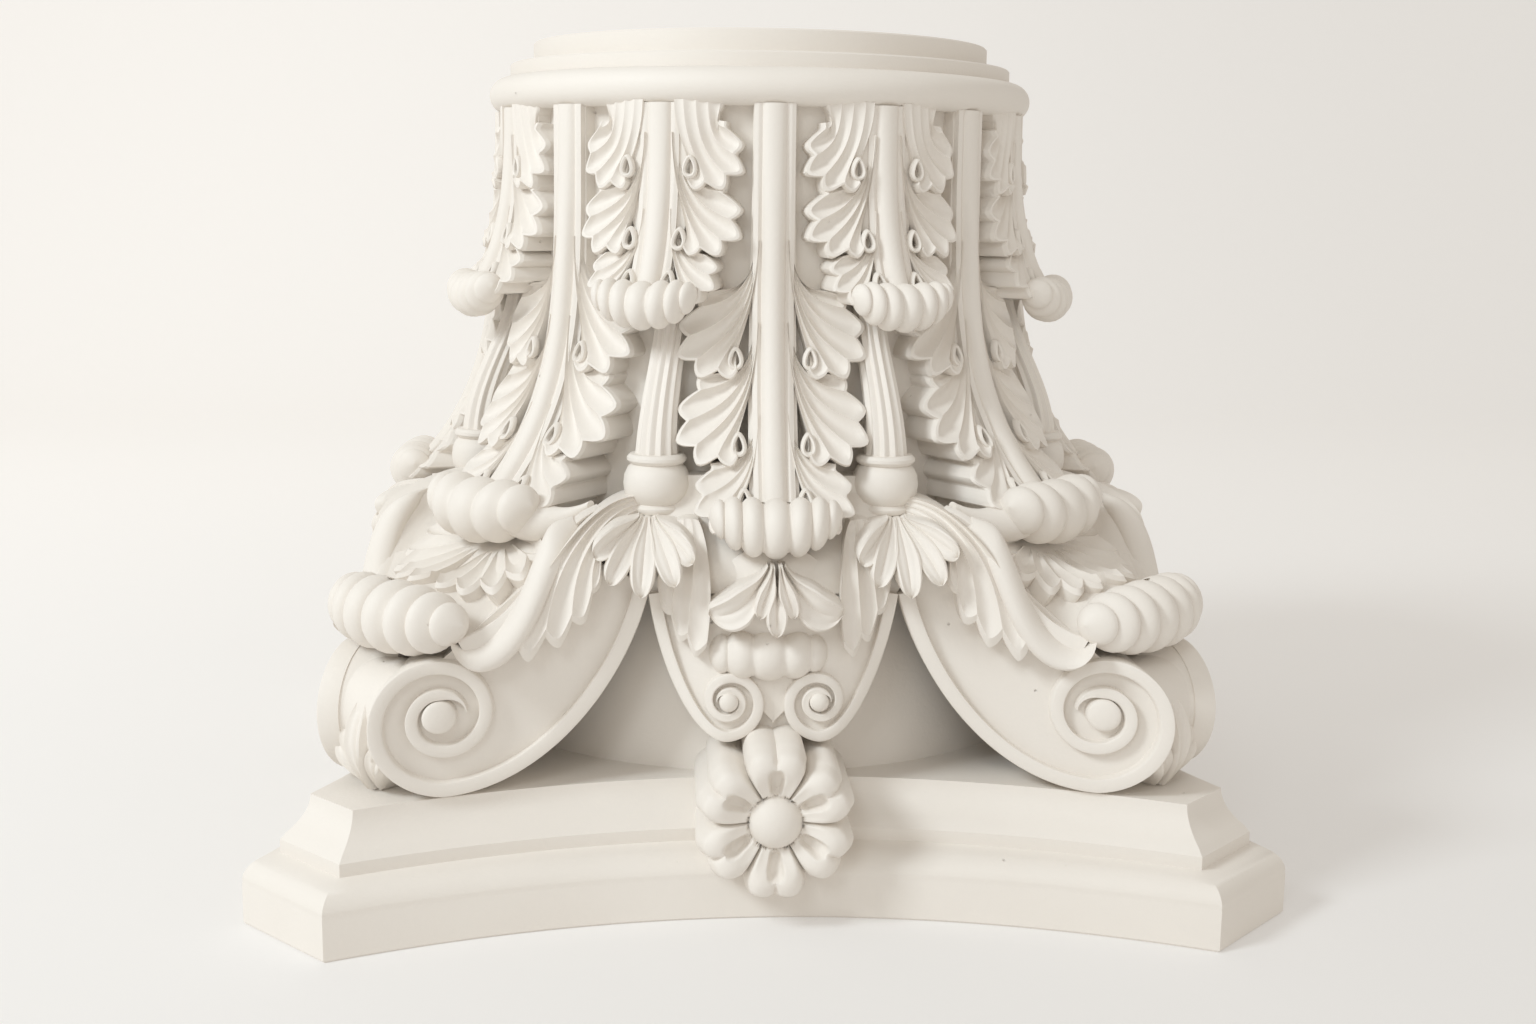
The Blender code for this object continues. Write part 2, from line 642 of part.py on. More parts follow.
def volute():
    """The scroll under a corner: its rim, and the body behind with the channel's floor."""
    path = scroll_path(VOLUTE_CENTRE, ABACUS_HEIGHT + SEAT_SINK, VOLUTE_RADIUS, 1.0,
                       SCROLL_TURNS)
    outer = list(path[:SWEEP_STEPS + TURN_STEPS // 2 + 1])
    hood = [(FORK_SIDEWAYS + SCROLL_HOOD * (VOLUTE_CENTRE - FORK_SIDEWAYS),
             CORNER_CURL_HEIGHT)]
    centre = np.array((VOLUTE_CENTRE - 2.0 * EMBED, ABACUS_HEIGHT + VOLUTE_RADIUS))
    drawn_in = centre + (np.array(outer + hood) - centre) * BODY_SHARE
    body = wall_form(drawn_in, lambda across: face_depth(across) - SCROLL_STEP,
                     lambda across: BODY_BACK, centre)
    eye = wall_form(ring_outline((VOLUTE_CENTRE, ABACUS_HEIGHT + VOLUTE_RADIUS), SCROLL_EYE, 8),
                    face_depth, lambda across: face_depth(across) - 2.0 * SCROLL_STEP)
    return [scroll_rim(path, face_depth, 1.0), body, eye]


def ring_outline(centre, radius, steps):
    """A round outline about a (sideways, height) centre."""
    angles = np.arange(steps) * 2.0 * pi / steps
    return np.stack([centre[0] + radius * np.cos(angles),
                     centre[1] + radius * np.sin(angles)], axis=-1)


def helix():
    """The small scroll beside the middle of a side, and the body behind it."""
    path = scroll_path(HELIX_CENTRE, HELIX_BOTTOM, HELIX_RADIUS, -1.0, HELIX_TURNS)
    outer = list(path[:SWEEP_STEPS + TURN_STEPS // 2 + 1])
    top = [(HELIX_CENTRE - EMBED, FORK_HEIGHT), (FORK_SIDEWAYS, FORK_HEIGHT + 2.0 * EMBED)]
    centre = np.array((HELIX_CENTRE + EMBED, HELIX_BOTTOM + 1.5 * HELIX_RADIUS))
    drawn_in = centre + (np.array(outer + top) - centre) * BODY_SHARE
    body = wall_form(drawn_in, lambda across: helix_depth(across) - SCROLL_STEP,
                     lambda across: BODY_BACK, centre)
    return [scroll_rim(path, helix_depth, -1.0), body]


def lobe(root, tips, lift):
    """A hanging leaf lobe over a scroll: fingers from a root, cut between their tips."""
    root, tips = np.asarray(root, float), np.asarray(tips, float)
    outline = [root, root + (tips[0] - root) * LOBE_SHOULDER]
    for index, tip in enumerate(tips):
        outline.append(tip)
        if index < len(tips) - 1:
            outline.append(root + ((tip + tips[index + 1]) / 2.0 - root) * LOBE_NOTCH)
    outline.append(root + (tips[-1] - root) * LOBE_SHOULDER)
    middle = root + (tips.mean(axis=0) - root) * LOBE_MIDDLE
    return wall_form(outline, lambda across: face_depth(across) + lift,
                     lambda across: face_depth(across) - 2.0 * SCROLL_STEP, middle)


def corner():
    """The horn behind a pair of volutes and the leaf over it, along the diagonal."""
    foot = ABACUS_HEIGHT - EMBED
    top = CORNER_CURL_HEIGHT
    horn_rings = []
    for share, half_share in HORN_SHAPE:
        reach = CORNER_CURL_REACH * share
        half = HORN_HALF_WIDTH * half_share
        horn_rings.append([(-half, -reach, foot), (half, -reach, foot), (half, -reach, top),
                           (0.0, -reach, top + EMBED), (-half, -reach, top)])
    low = CORNER_CURL_HEIGHT - BLADE_UNDERSIDE * CORNER_CURL
    blade_rings = []
    for share, half_share, rise in CORNER_BLADE:
        reach = CORNER_CURL_REACH * share
        half = CORNER_HALF_CURL * half_share
        crest = CORNER_LEAF_TOP + rise
        slope = [(across * half, -reach, crest - fall) for across, fall in BLADE_SECTION]
        far_slope = [(-across, behind, height) for across, behind, height in reversed(slope)]
        blade_rings.append([(-half, -reach, low), (half, -reach, low)] + slope
                           + [(0.0, -reach, crest)] + far_slope)
    curl = roll(CORNER_CURL_REACH, CORNER_CURL_HEIGHT, CORNER_HALF_CURL, CORNER_CURL,
                CORNER_RIBS)
    return [loft(horn_rings), loft(blade_rings), curl]


def saddle_leaf():
    """The little upright leaf between the two volutes of a corner."""
    foot = ABACUS_HEIGHT - EMBED
    half = [(share * SADDLE_LEAF_HALF_WIDTH, foot + rise * SADDLE_LEAF_HEIGHT)
            for share, rise in SADDLE_LEAF_OUTLINE]
    tip = [(0.0, foot + SADDLE_LEAF_HEIGHT + EMBED)]
    outline = [(-across, height) for across, height in half] + tip + half[::-1]
    return wall_form(outline,
                     lambda across: SADDLE_LEAF_FRONT - SADDLE_LEAF_SLOPE * abs(across),
                     lambda across: SADDLE_LEAF_FRONT - SADDLE_LEAF_DEPTH)


def bud():
    """The leaf in the middle of a side, rolled forward above the helices."""
    half = BUD_LEAF_HALF_WIDTH
    foot = BUD_LEAF_FOOT * half
    low, high = BUD_HEIGHT - BUD_CURL / 2.0, TALL_ROW.curl_height
    shoulder = low + BUD_LEAF_SHOULDER * (high - low)
    outline = ((-foot, low), (foot, low), (half, shoulder), (half, high), (-half, high),
               (-half, shoulder))
    face = wall_form(outline, lambda across: BUD_FRONT - BUD_CURL, lambda across: BODY_BACK)
    curl = roll(BUD_FRONT - BUD_CURL, BUD_HEIGHT, BUD_HALF_CURL, BUD_CURL, BUD_RIBS)
    return [face, curl]


def rosette():
    """The flower on the middle of a side: double-lobed petals round a dome."""
    steps = 4 * ROSETTE_PETALS
    angles = pi / 2.0 + np.arange(steps) * 2.0 * pi / steps
    petal = np.tile(ROSETTE_LOBES, ROSETTE_PETALS)
    rings = []
    shapes = [(1.0, ROSETTE_BACK, petal), (1.0, ROSETTE_FRONT - ROSETTE_EDGE, petal),
              (ROSETTE_CREST, ROSETTE_FRONT, np.sqrt(petal))]
    shapes += [(share, ROSETTE_FRONT + rise, np.ones(steps)) for share, rise in ROSETTE_CUP]
    for share, depth, wave in shapes:
        size = ROSETTE_RADIUS * share * wave
        rings.append(np.stack([size * np.cos(angles), np.full(steps, -depth),
                               ROSETTE_HEIGHT + size * np.sin(angles)], axis=-1))
    return loft(rings)


def add_form(capital, name, shape, material):
    """Cast a closed form onto the capital, and keep it as a hidden guide.

    The MANIFOLD solver is used because the EXACT one left open edges on these unions.
    """
    form = make_object(name, shape, material)
    form.hide_render = True
    form.display_type = "WIRE"
    union = capital.modifiers.new(name, "BOOLEAN")
    union.operation = "UNION"
    union.solver = "MANIFOLD"
    union.object = form


def main():
    """Cast the capital: the carved forms first, trimmed, then the plain mouldings."""
    clear_scene()
    material = plaster()
    capital = make_object("capital", bell(), material)
    add_form(capital, "small_leaves", around(leaf(SMALL_ROW), LEAVES_IN_ROW), material)
    add_form(capital, "tall_leaves", around(leaf(TALL_ROW), LEAVES_IN_ROW), material)
    add_form(capital, "stalks", around(mirrored(around(stalk(), 1, STALK_TURN)), 4), material)
    for side, hand in (("right", 1.0), ("left", -1.0)):
        for index, form in enumerate(volute()):
            add_form(capital, f"volute_{side}_{index}", around(handed(form, hand), 4), material)
    for index, form in enumerate(helix()):
        add_form(capital, f"helix_{index}", around(mirrored(form), 4), material)
    for index, form in enumerate(corner()):
        add_form(capital, f"corner_{index}", around(form, 4, 45.0), material)
    for name, root, tips in (("outer_lobe", OUTER_LOBE_ROOT, OUTER_LOBE_TIPS),
                             ("inner_lobe", INNER_LOBE_ROOT, INNER_LOBE_TIPS)):
        add_form(capital, name, around(mirrored(lobe(root, tips, LOBE_LIFT)), 4), material)
    add_form(capital, "saddle_leaf", around(saddle_leaf(), 4, 45.0), material)
    for index, form in enumerate(bud()):
        add_form(capital, f"bud_{index}", around(form, 4), material)
    add_form(capital, "rosette", around(rosette(), 4), material)
    trim = capital.modifiers.new("trim", "DECIMATE")
    trim.ratio = TRIM_RATIO
    add_form(capital, "astragal", astragal(), material)
    add_form(capital, "abacus", abacus(), material)


main()
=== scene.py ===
"""Looks of a Corinthian capital cast in plaster, standing on its abacus.

Metres, +Z up, front -Y. Each carved form is a surface worked out on a grid of two parameters.
Leaves, petals and lobes are fans of fingers: lines run from a root to a cut outline, and the
surface is scooped between thin ridges. A skirt carries each form's edge back into the core.
"""

import bpy
import numpy as np
from math import cos, pi, radians, sin, sqrt, tau
from mathutils import Matrix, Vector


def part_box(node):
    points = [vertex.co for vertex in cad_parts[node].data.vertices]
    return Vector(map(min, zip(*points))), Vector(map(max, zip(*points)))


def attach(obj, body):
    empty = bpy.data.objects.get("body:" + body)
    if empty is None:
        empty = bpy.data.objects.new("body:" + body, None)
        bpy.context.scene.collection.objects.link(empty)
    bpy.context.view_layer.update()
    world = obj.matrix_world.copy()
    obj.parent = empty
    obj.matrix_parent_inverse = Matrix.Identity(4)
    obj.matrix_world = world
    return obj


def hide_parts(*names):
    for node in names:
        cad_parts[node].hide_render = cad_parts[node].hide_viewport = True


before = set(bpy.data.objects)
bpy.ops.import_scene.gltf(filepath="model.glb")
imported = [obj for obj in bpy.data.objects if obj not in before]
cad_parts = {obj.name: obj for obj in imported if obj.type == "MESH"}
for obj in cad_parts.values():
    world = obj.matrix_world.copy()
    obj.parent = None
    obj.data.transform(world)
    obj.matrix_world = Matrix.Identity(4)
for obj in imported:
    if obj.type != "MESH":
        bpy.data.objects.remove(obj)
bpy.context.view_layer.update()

# The frame's own sizes
LOW, HIGH = (np.array(corner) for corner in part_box("capital"))
HEIGHT = float(HIGH[2] - LOW[2])
ABACUS_REACH = float(HIGH[0])

# Abacus, heights of its mouldings and how far each draws in
ABACUS_FACE = 0.024
ABACUS_OVOLO = 0.014
ABACUS_OVOLO_INSET = 0.0186
ABACUS_FILLET = 0.0086
ABACUS_FILLET_INSET = 0.0009
ABACUS_CAVETTO = 0.0226
ABACUS_CAVETTO_INSET = 0.0160
ABACUS_CHAMFER = 0.052
ABACUS_CHAMFER_TAKEN = 0.0249
ABACUS_HOLLOW = 0.0524
ABACUS_HEIGHT = ABACUS_FACE + ABACUS_OVOLO + ABACUS_FILLET + ABACUS_CAVETTO

# Bell and the mouldings above it
NECK_RADIUS = 0.1525
LIP_RADIUS = 0.189
FLARE_START = 0.72
FLARE_POWER = 1.1
ASTRAGAL_RADIUS = 0.1687
ASTRAGAL_HEIGHT = 0.021
NECK_FILLET_RADIUS = 0.1557
NECK_FILLET_HEIGHT = 0.0086
SEAT_RADIUS = 0.1414
SEAT_HEIGHT = 0.0132
ASTRAGAL_FOOT = HEIGHT - SEAT_HEIGHT - NECK_FILLET_HEIGHT - ASTRAGAL_HEIGHT
BELL_HEIGHT = ASTRAGAL_FOOT - ABACUS_HEIGHT
SUNK_IN_BELL = 0.004           # how far the back of a form on the bell is hidden in it

# Acanthus leaves: rib, eyes, fans, body and rolled tip
LEAVES_IN_ROW = 8
RIB_HALF_WIDTH = 0.0062
RIB_HEIGHT = 0.0060
RIB_STRIP = 0.0115             # half width of the rib with its side beads
RIB_BEAD_PLACE = 0.0090
RIB_BEAD_WIDTH = 0.0013
RIB_BEAD_HEIGHT = 0.0014
EYE_HALF_WIDTH = 0.0030
EYE_HALF_HEIGHT = 0.0052
EYE_BEAD = 0.00135
EYE_LIFT = 0.0008
FAN_ROOT_ACROSS = 0.0078
FAN_DEPTH = 0.062              # a finger's hollow as a share of the fan's length
FAN_TILT = 0.0011              # how much further out each finger stands than the last
FAN_LEVEL = 2.6                # the place in the fan that stands on the leaf's profile
FAN_ROWS = 18
FAN_STEPS = 9
BODY_SUNK = 0.0015
BODY_ROUNDING = 0.0030
ROLL_GROOVE = 0.30
ROLL_RISE = 0.007
TAIL_START = 0.60              # as a share of the roll's half length
TAIL_THICKNESS = 0.70          # as a share of the roll's radius
TAIL_SUNK = 0.006
TAIL_RISE = 0.001

# A fan's row: height of its root, its length, how far apart its lines start and how far above
# the root, both as shares of the length, and its first and last place. An eye's: across and
# height. A body's: half width at the top and at the roll. A tail's: points (across, out, height).
SMALL_ROW = dict(turn=22.5, top=0.4385, curl_height=0.329, root=0.0125, reach=0.023, bend=3.5,
                 curl=0.0136, half_curl=0.031, curl_ribs=7,
                 fans=((0.440, 0.058, 0.115, 0.0, 0.2, 4.3),
                       (0.405, 0.0585, 0.008, 0.30, -0.5, 4.3),
                       (0.368, 0.0440, 0.008, 0.30, 0.5, 3.9)),
                 eyes=((0.0185, 0.404), (0.0145, 0.365), (0.0115, 0.342)),
                 body=(0.034, 0.012))
TALL_ROW = dict(turn=0.0, top=0.4385, curl_height=0.214, root=0.0115, reach=0.055, bend=4.2,
                curl=0.0165, half_curl=0.036, curl_ribs=7,
                fans=((0.345, 0.0665, 0.008, 0.30, -0.5, 4.3),
                      (0.300, 0.0672, 0.008, 0.30, -0.5, 4.3),
                      (0.255, 0.0520, 0.008, 0.30, 0.2, 3.9)),
                eyes=((0.0205, 0.3005), (0.0190, 0.2550), (0.0165, 0.2270)),
                body=(0.012, 0.014))
CORNER_ROW = dict(TALL_ROW, reach=0.066, curl=0.0188, half_curl=0.041, curl_ribs=5,
                  tail=((0.044, 0.214, 0.2105), (0.062, 0.203, 0.221)))

# Scrolls
FACE_AT_MIDDLE = 0.205
FACE_ARC_RADIUS = 0.575
BODY_BACK = 0.150              # depth to which the hidden backs of a side's forms go
SUNK_IN_WALL = 0.030
FORK_SIDEWAYS = 0.068
FORK_HEIGHT = 0.176
SCROLL_STEP = 0.0060
SCROLL_SHRINK = 0.5            # share of its radius that a spiral keeps on each turn
SWEEP_STEPS = 40
TURN_STEPS = 64
FLOOR_STEPS = 33               # the spiral's points that bound the channel's floor
FLOOR_DRAWN_IN = 0.985         # the floor's size as a share of its outline's
VOLUTE_CENTRE = 0.177
VOLUTE_RADIUS = 0.044
VOLUTE_BOTTOM = ABACUS_HEIGHT + 0.0008
VOLUTE_TURNS = 1.72
VOLUTE_RIM = 0.0087
VOLUTE_RIM_END = 0.68
VOLUTE_EYE_RADIUS = 0.0088
VOLUTE_EYE_RISE = 0.0028
VOLUTE_EYE_SHIFT = (0.0012, 0.0005)
HELIX_CENTRE = 0.0245
HELIX_RADIUS = 0.0225
HELIX_BOTTOM = 0.097
HELIX_PROUD = 0.018
HELIX_TURNS = 1.75
HELIX_RIM = 0.0070
HELIX_RIM_END = 0.5
HELIX_EYE_RADIUS = 0.0052
HELIX_EYE_RISE = 0.003
HELIX_WALL_STEP = 0.0090
SHOULDER_BACK = 0.176
SHOULDER_STEP = 0.006
SHOULDER_TOP = 0.234
SHOULDER_EASE = 0.05

# Side lobes, each one's lift off the face and the depth of its fingers
OUTER_LOBE_LIFT = 0.010
OUTER_LOBE_DEPTH = 0.0032
INNER_LOBE_LIFT = 0.005
INNER_LOBE_DEPTH = 0.0030

# Corners
SADDLE_TURNS = 0.62
SADDLE_START = 36              # the point of the volute's path where the saddle's outline starts
SADDLE_DRAWN_IN = 0.20
SADDLE_STEP = 0.001
CORNER_RIM = 0.0072
CORNER_ROLL = dict(half=0.053, radius=0.0202, ribs=8, groove=0.30, sag=0.010, rise=0.001,
                   taper=0.56)
CORNER_ROLL_OUT = 0.2950
CORNER_ROLL_HEIGHT = 0.1650
PALMETTE_LENGTH = 0.060
PALMETTE_DEPTH = 0.0030
PALMETTE_FINGER_TURN = 17.0
PALMETTE_ROOT = 0.215
PALMETTE_ROOT_ACROSS = 0.004

# Stalks and their collars
STALK_TURN = 20.5
STALK_TOP = 0.330
STALK_FOOT = 0.245
STALK_RADIUS = 0.0085
STALK_SWELL = 0.0030
STALK_SUNK = 0.003
STALK_FLUTES = 12.0
FLUTE_DEPTH = 0.0008
COLLAR_PROUD = 0.0185

# Bowl leaf in the middle of a side
BUD_CENTRE = 0.172
BUD_HALF_WIDTH = 0.034
BUD_HALF_HEIGHT = 0.032
BUD_OUT = 0.212
BUD_BULGE = 0.012
BUD_ROLL = dict(half=0.033, radius=0.0140, ribs=5, groove=0.24, sag=0.004, rise=0.001, taper=0.35)
BUD_ROLL_OUT = 0.2175
BUD_ROLL_HEIGHT = 0.1445
BUD_ROLL_ACROSS = -0.003

# Rosette
ROSETTE_PETALS = 6.0
ROSETTE_RADIUS = 0.0440
ROSETTE_CENTRE = 0.0610
ROSETTE_OUT = 0.2465
ROSETTE_BACK = 0.178
DOME_RADIUS = 0.0148
DOME_RISE = 0.0125

# The camera, fitted to the photograph
CAMERA_PLACE = (-0.0597, -1.1430, 0.3861)
CAMERA_RIGHT = (0.9983, -0.0573, 0.0132)
CAMERA_UP = (-0.0030, 0.1739, 0.9848)
CAMERA_FORWARD = (0.0588, 0.9831, -0.1734)
CAMERA_LENS = 41.41
CAMERA_FILM = 36.0

# Plaster: colours, and its patterns' scales per metre and heights in metres
PLASTER_LIGHT = (0.855, 0.811, 0.754, 1.0)
PLASTER_DARK = (0.778, 0.724, 0.658, 1.0)
CLOUD_SCALE = 9.0
CLOUD_HEIGHT = 0.0008
GRAIN_SCALE = 420.0
GRAIN_HEIGHT = 0.00012
PIT_SCALE = 62.0
PIT_SHARE = 0.055              # radius of a pit as a share of a cell
PITS_LEFT_OUT = 0.72
PIT_DEPTH = 0.0009
# Clouds vary the plaster's own tone; the pits' darkening is painted shade in their hollows
CLOUD_TONE = 0.9               # how far clouds and pits take the colour towards the dark one
PIT_PAINTED_SHADE = 0.6
PLASTER_ROUGHNESS = 0.56
GRAIN_ROUGHNESS = 0.12

# Stage: the floor's pale tone and its painted shade, the places between which one passes into
# the next, its glow, the lamps as (name, place, size, power, colour), and the light from all round
# The near tone and the far right tone are painted shade on the pale sweep
FLOOR_NEAR_PAINTED_SHADE = (0.640, 0.625, 0.608, 1.0)
FLOOR_FAR = (0.950, 0.938, 0.920, 1.0)
FLOOR_FAR_RIGHT_PAINTED_SHADE = (0.800, 0.790, 0.775, 1.0)
FLOOR_LEFT_X = -1.2
FLOOR_RIGHT_X = 1.8
FLOOR_NEAR_Y = -0.9
FLOOR_FAR_Y = 1.6
FLOOR_ROUGHNESS = 0.9
FLOOR_GLOW = (1.0, 0.98, 0.96, 1.0)
FLOOR_GLOW_STRENGTH = 0.19
LAMPS = (("key", (-2.0, -1.3, 1.9), 0.7, 39.0, (0.860, 0.942, 1.0)),
         ("front", (-0.8, -2.4, 1.7), 0.7, 8.5, (0.860, 0.942, 1.0)),
         ("fill", (2.4, -2.2, 1.2), 2.2, 3.0, (0.98, 0.99, 1.0)))
LAMPS_AIM = (0.0, 0.0, 0.2)
ROUND_LIGHT = (1.0, 0.945, 0.870, 1.0)
ROUND_LIGHT_STRENGTH = 0.59


def smooth(value):
    """Ease from 0 to 1, level at both ends."""
    value = np.clip(value, 0.0, 1.0)
    return value * value * (3.0 - 2.0 * value)


def bell_radius(height):
    """Radius of the bell: the neck, opening below FLARE_START of its height to the lip."""
    share = np.clip((height - ABACUS_HEIGHT) / BELL_HEIGHT, 0.0, 1.0)
    flare = np.clip(1.0 - share / FLARE_START, 0.0, 1.0) ** FLARE_POWER
    return NECK_RADIUS + (LIP_RADIUS - NECK_RADIUS) * flare


def face_depth(across):
    """How far a volute's face stands in front of the axis: an arc, nearest at the middle."""
    return FACE_AT_MIDDLE + FACE_ARC_RADIUS - np.sqrt(FACE_ARC_RADIUS ** 2 - across ** 2)


def helix_depth(across):
    """The same face, swelling forward from the fork to the helices."""
    away = np.clip(np.abs(across) - HELIX_CENTRE, 0.0, None) / (FORK_SIDEWAYS - HELIX_CENTRE)
    return face_depth(across) + HELIX_PROUD * smooth(1.0 - away)


def grid_quads(index):
    """Faces between neighbouring rows and columns of an index grid."""
    return np.stack([index[:-1, :-1], index[1:, :-1], index[1:, 1:], index[:-1, 1:]],
                    axis=-1).reshape(-1, 4)


def pole_fan(pole, ring):
    """Triangles from a pole to each step of a ring."""
    return np.stack([np.full(len(ring) - 1, pole), ring[:-1], ring[1:]], axis=-1)


def joined(faces, corners):
    """A list of face arrays as one array, also where the list is empty."""
    return np.concatenate(faces) if faces else np.zeros((0, corners), int)


def at_front(out, across, height):
    """Points at the front from how far out they stand, how far across and how high."""
    return np.stack(np.broadcast_arrays(across, -out, height), axis=-1)


class Skin:
    """Closed shells gathered as arrays of points and faces, and made one mesh."""

    def __init__(self):
        self.points = []
        self.quads = []
        self.fans = []
        self.count = 0

    def add_points(self, points):
        """Keep an array of points and give their indices in its shape."""
        points = np.asarray(points, float)
        flat = points.reshape(-1, 3)
        index = np.arange(len(flat)).reshape(points.shape[:-1]) + self.count
        self.points.append(flat)
        self.count += len(flat)
        return index

    def keep_shell(self, quads, fans):
        """Keep one closed shell, its faces turned outwards by the sign of its volume."""
        points = np.concatenate(self.points)
        corners = np.concatenate([quads[:, :3], quads[:, [0, 2, 3]], fans])
        a, b, c = (points[corners[:, column]] for column in range(3))
        inside_out = np.einsum("ij,ij->i", a - a[0], np.cross(b - a[0], c - a[0])).sum() < 0.0
        self.quads.append(quads[:, ::-1] if inside_out else quads)
        self.fans.append(fans[:, ::-1] if inside_out else fans)

    def loft(self, rings):
        """Closed tube: rings along a path, each end drawn to its middle."""
        rings = np.asarray(rings, float)
        index = self.add_points(rings)
        ends = self.add_points(rings[[0, -1]].mean(axis=1))
        around = np.concatenate([index, index[:, :1]], axis=1)
        self.keep_shell(grid_quads(around), np.concatenate([
            pole_fan(ends[0], around[0, ::-1]), pole_fan(ends[1], around[-1])]))

    def ring(self, rings):
        """Closed tube that comes back to its first ring."""
        index = self.add_points(rings)
        index = np.concatenate([index, index[:, :1]], axis=1)
        index = np.concatenate([index, index[:1]])
        self.keep_shell(grid_quads(index), np.zeros((0, 3), int))

    def patch(self, grid, sunk):
        """A front surface with a skirt from its edge to sunk points, closed behind.

        sunk gives the hidden end of each edge point.
        """
        grid = np.asarray(grid, float)
        index = self.add_points(grid)
        edge = np.concatenate([index[0, :], index[1:, -1], index[-1, -2::-1], index[-2:0:-1, 0]])
        front = grid.reshape(-1, 3)[edge - index[0, 0]]
        back = np.asarray(sunk(front), float)
        rows = np.array([edge, self.add_points(0.5 * (front + back)), self.add_points(back)])
        rows = np.concatenate([rows, rows[:, :1]], axis=1)
        middle = self.add_points(back.mean(axis=0)[None])[0]
        self.keep_shell(np.concatenate([grid_quads(index), grid_quads(rows)]),
                        pole_fan(middle, rows[-1]))

    def cushion(self, rings, sunk):
        """A front surface from a middle point out through closed rings, with the same skirt."""
        rings = np.asarray(rings, float)
        pole = self.add_points(rings[:1, 0])[0]
        index = self.add_points(rings[1:])
        front = rings[-1]
        back = np.asarray(sunk(front), float)
        rows = np.concatenate([index, self.add_points(0.5 * (front + back))[None],
                               self.add_points(back)[None]])
        rows = np.concatenate([rows, rows[:, :1]], axis=1)
        middle = self.add_points(back.mean(axis=0)[None])[0]
        self.keep_shell(grid_quads(rows), np.concatenate([
            pole_fan(pole, rows[0, ::-1]), pole_fan(middle, rows[-1])]))

    def copied(self, turns):
        """A skin of copies of this one, one for each matrix; a mirror's faces turn round."""
        points = np.concatenate(self.points)
        quads, fans = joined(self.quads, 4), joined(self.fans, 3)
        whole = Skin()
        for turn in turns:
            order = 1 if np.linalg.det(turn) > 0.0 else -1
            shift = whole.count
            whole.add_points(points @ turn)
            whole.quads.append(quads[:, ::order] + shift)
            whole.fans.append(fans[:, ::order] + shift)
        return whole

    def spun(self, count, turn=0.0):
        """A skin of evenly turned copies of this one."""
        return self.copied([np.array([[cos(angle), sin(angle), 0.0], [-sin(angle), cos(angle), 0.0],
                                      [0.0, 0.0, 1.0]])
                            for angle in radians(turn) + np.arange(count) * tau / count])

    def mirrored(self):
        """This skin with its mirror image in the plane X = 0."""
        return self.copied([np.diag((hand, 1.0, 1.0)) for hand in (1.0, -1.0)])

    def join(self, other):
        """Take in another skin."""
        shift = self.count
        self.add_points(np.concatenate(other.points))
        self.quads += [quads + shift for quads in other.quads]
        self.fans += [fans + shift for fans in other.fans]
        return self

    def piece(self, name, material, crease=38.0):
        """The mesh object, shaded smooth but for its creases, riding on the root."""
        points = np.concatenate(self.points)
        quads, fans = joined(self.quads, 4), joined(self.fans, 3)
        mesh = bpy.data.meshes.new(name)
        mesh.vertices.add(len(points))
        mesh.vertices.foreach_set("co", points.astype(np.float32).ravel())
        mesh.loops.add(4 * len(quads) + 3 * len(fans))
        mesh.loops.foreach_set("vertex_index", np.concatenate([quads.ravel(), fans.ravel()]))
        mesh.polygons.add(len(quads) + len(fans))
        starts = np.concatenate([4 * np.arange(len(quads)),
                                 4 * len(quads) + 3 * np.arange(len(fans))])
        mesh.polygons.foreach_set("loop_start", starts)
        mesh.update(calc_edges=True)
        mesh.validate()
        mesh.shade_smooth()
        mesh.set_sharp_from_angle(angle=radians(crease))
        mesh.materials.append(material)
        thing = bpy.data.objects.new(name, mesh)
        bpy.context.scene.collection.objects.link(thing)
        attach(thing, "root")
        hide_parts("capital")
        return thing


def into_bell(points):
    """Sink points level towards the axis, to SUNK_IN_BELL behind the bell's surface."""
    radius = np.hypot(points[..., 0], points[..., 1])
    scale = np.minimum(bell_radius(points[..., 2]) - SUNK_IN_BELL, radius) / radius
    return np.stack([points[..., 0] * scale, points[..., 1] * scale, points[..., 2]], axis=-1)


def into_wall(points):
    """Sink points straight back from a side's face into the body."""
    back = np.minimum(-BODY_BACK, points[..., 1] + SUNK_IN_WALL)
    return np.stack([points[..., 0], back, points[..., 2]], axis=-1)


# An acanthus fan in units of its length, from its root. Each row is one line of the fan:
# place in the fan, tip (across, up), tip's direction in degrees, handle at the tip, handle
# at the root. Whole places are finger middles, halves are the ridges between them.
FAN_LINES = np.array((
    (-0.5, 0.420, -0.100, 6.0, 0.26, 0.06),
    (0.0, 0.546, -0.188, 0.0, 0.28, 0.12),
    (1.0, 0.666, -0.383, -12.0, 0.32, 0.24),
    (2.0, 0.725, -0.680, -30.0, 0.34, 0.40),
    (3.0, 0.506, -0.863, -62.0, 0.34, 0.50),
    (4.0, 0.215, -0.826, -112.0, 0.24, 0.50),
    (4.5, 0.120, -0.770, -140.0, 0.20, 0.44)))
FAN_DEGREE = 4


def fan_line(place, column):
    """One column of FAN_LINES as a smooth curve through its rows."""
    return np.polyval(np.polyfit(FAN_LINES[:, 0], FAN_LINES[:, column], FAN_DEGREE), place)


def cubic(share, start, leave, arrive, end):
    """Point of a cubic curve at a share of its run."""
    rest = 1.0 - share
    return (rest ** 3 * start + 3.0 * share * rest ** 2 * leave
            + 3.0 * share ** 2 * rest * arrive + share ** 3 * end)


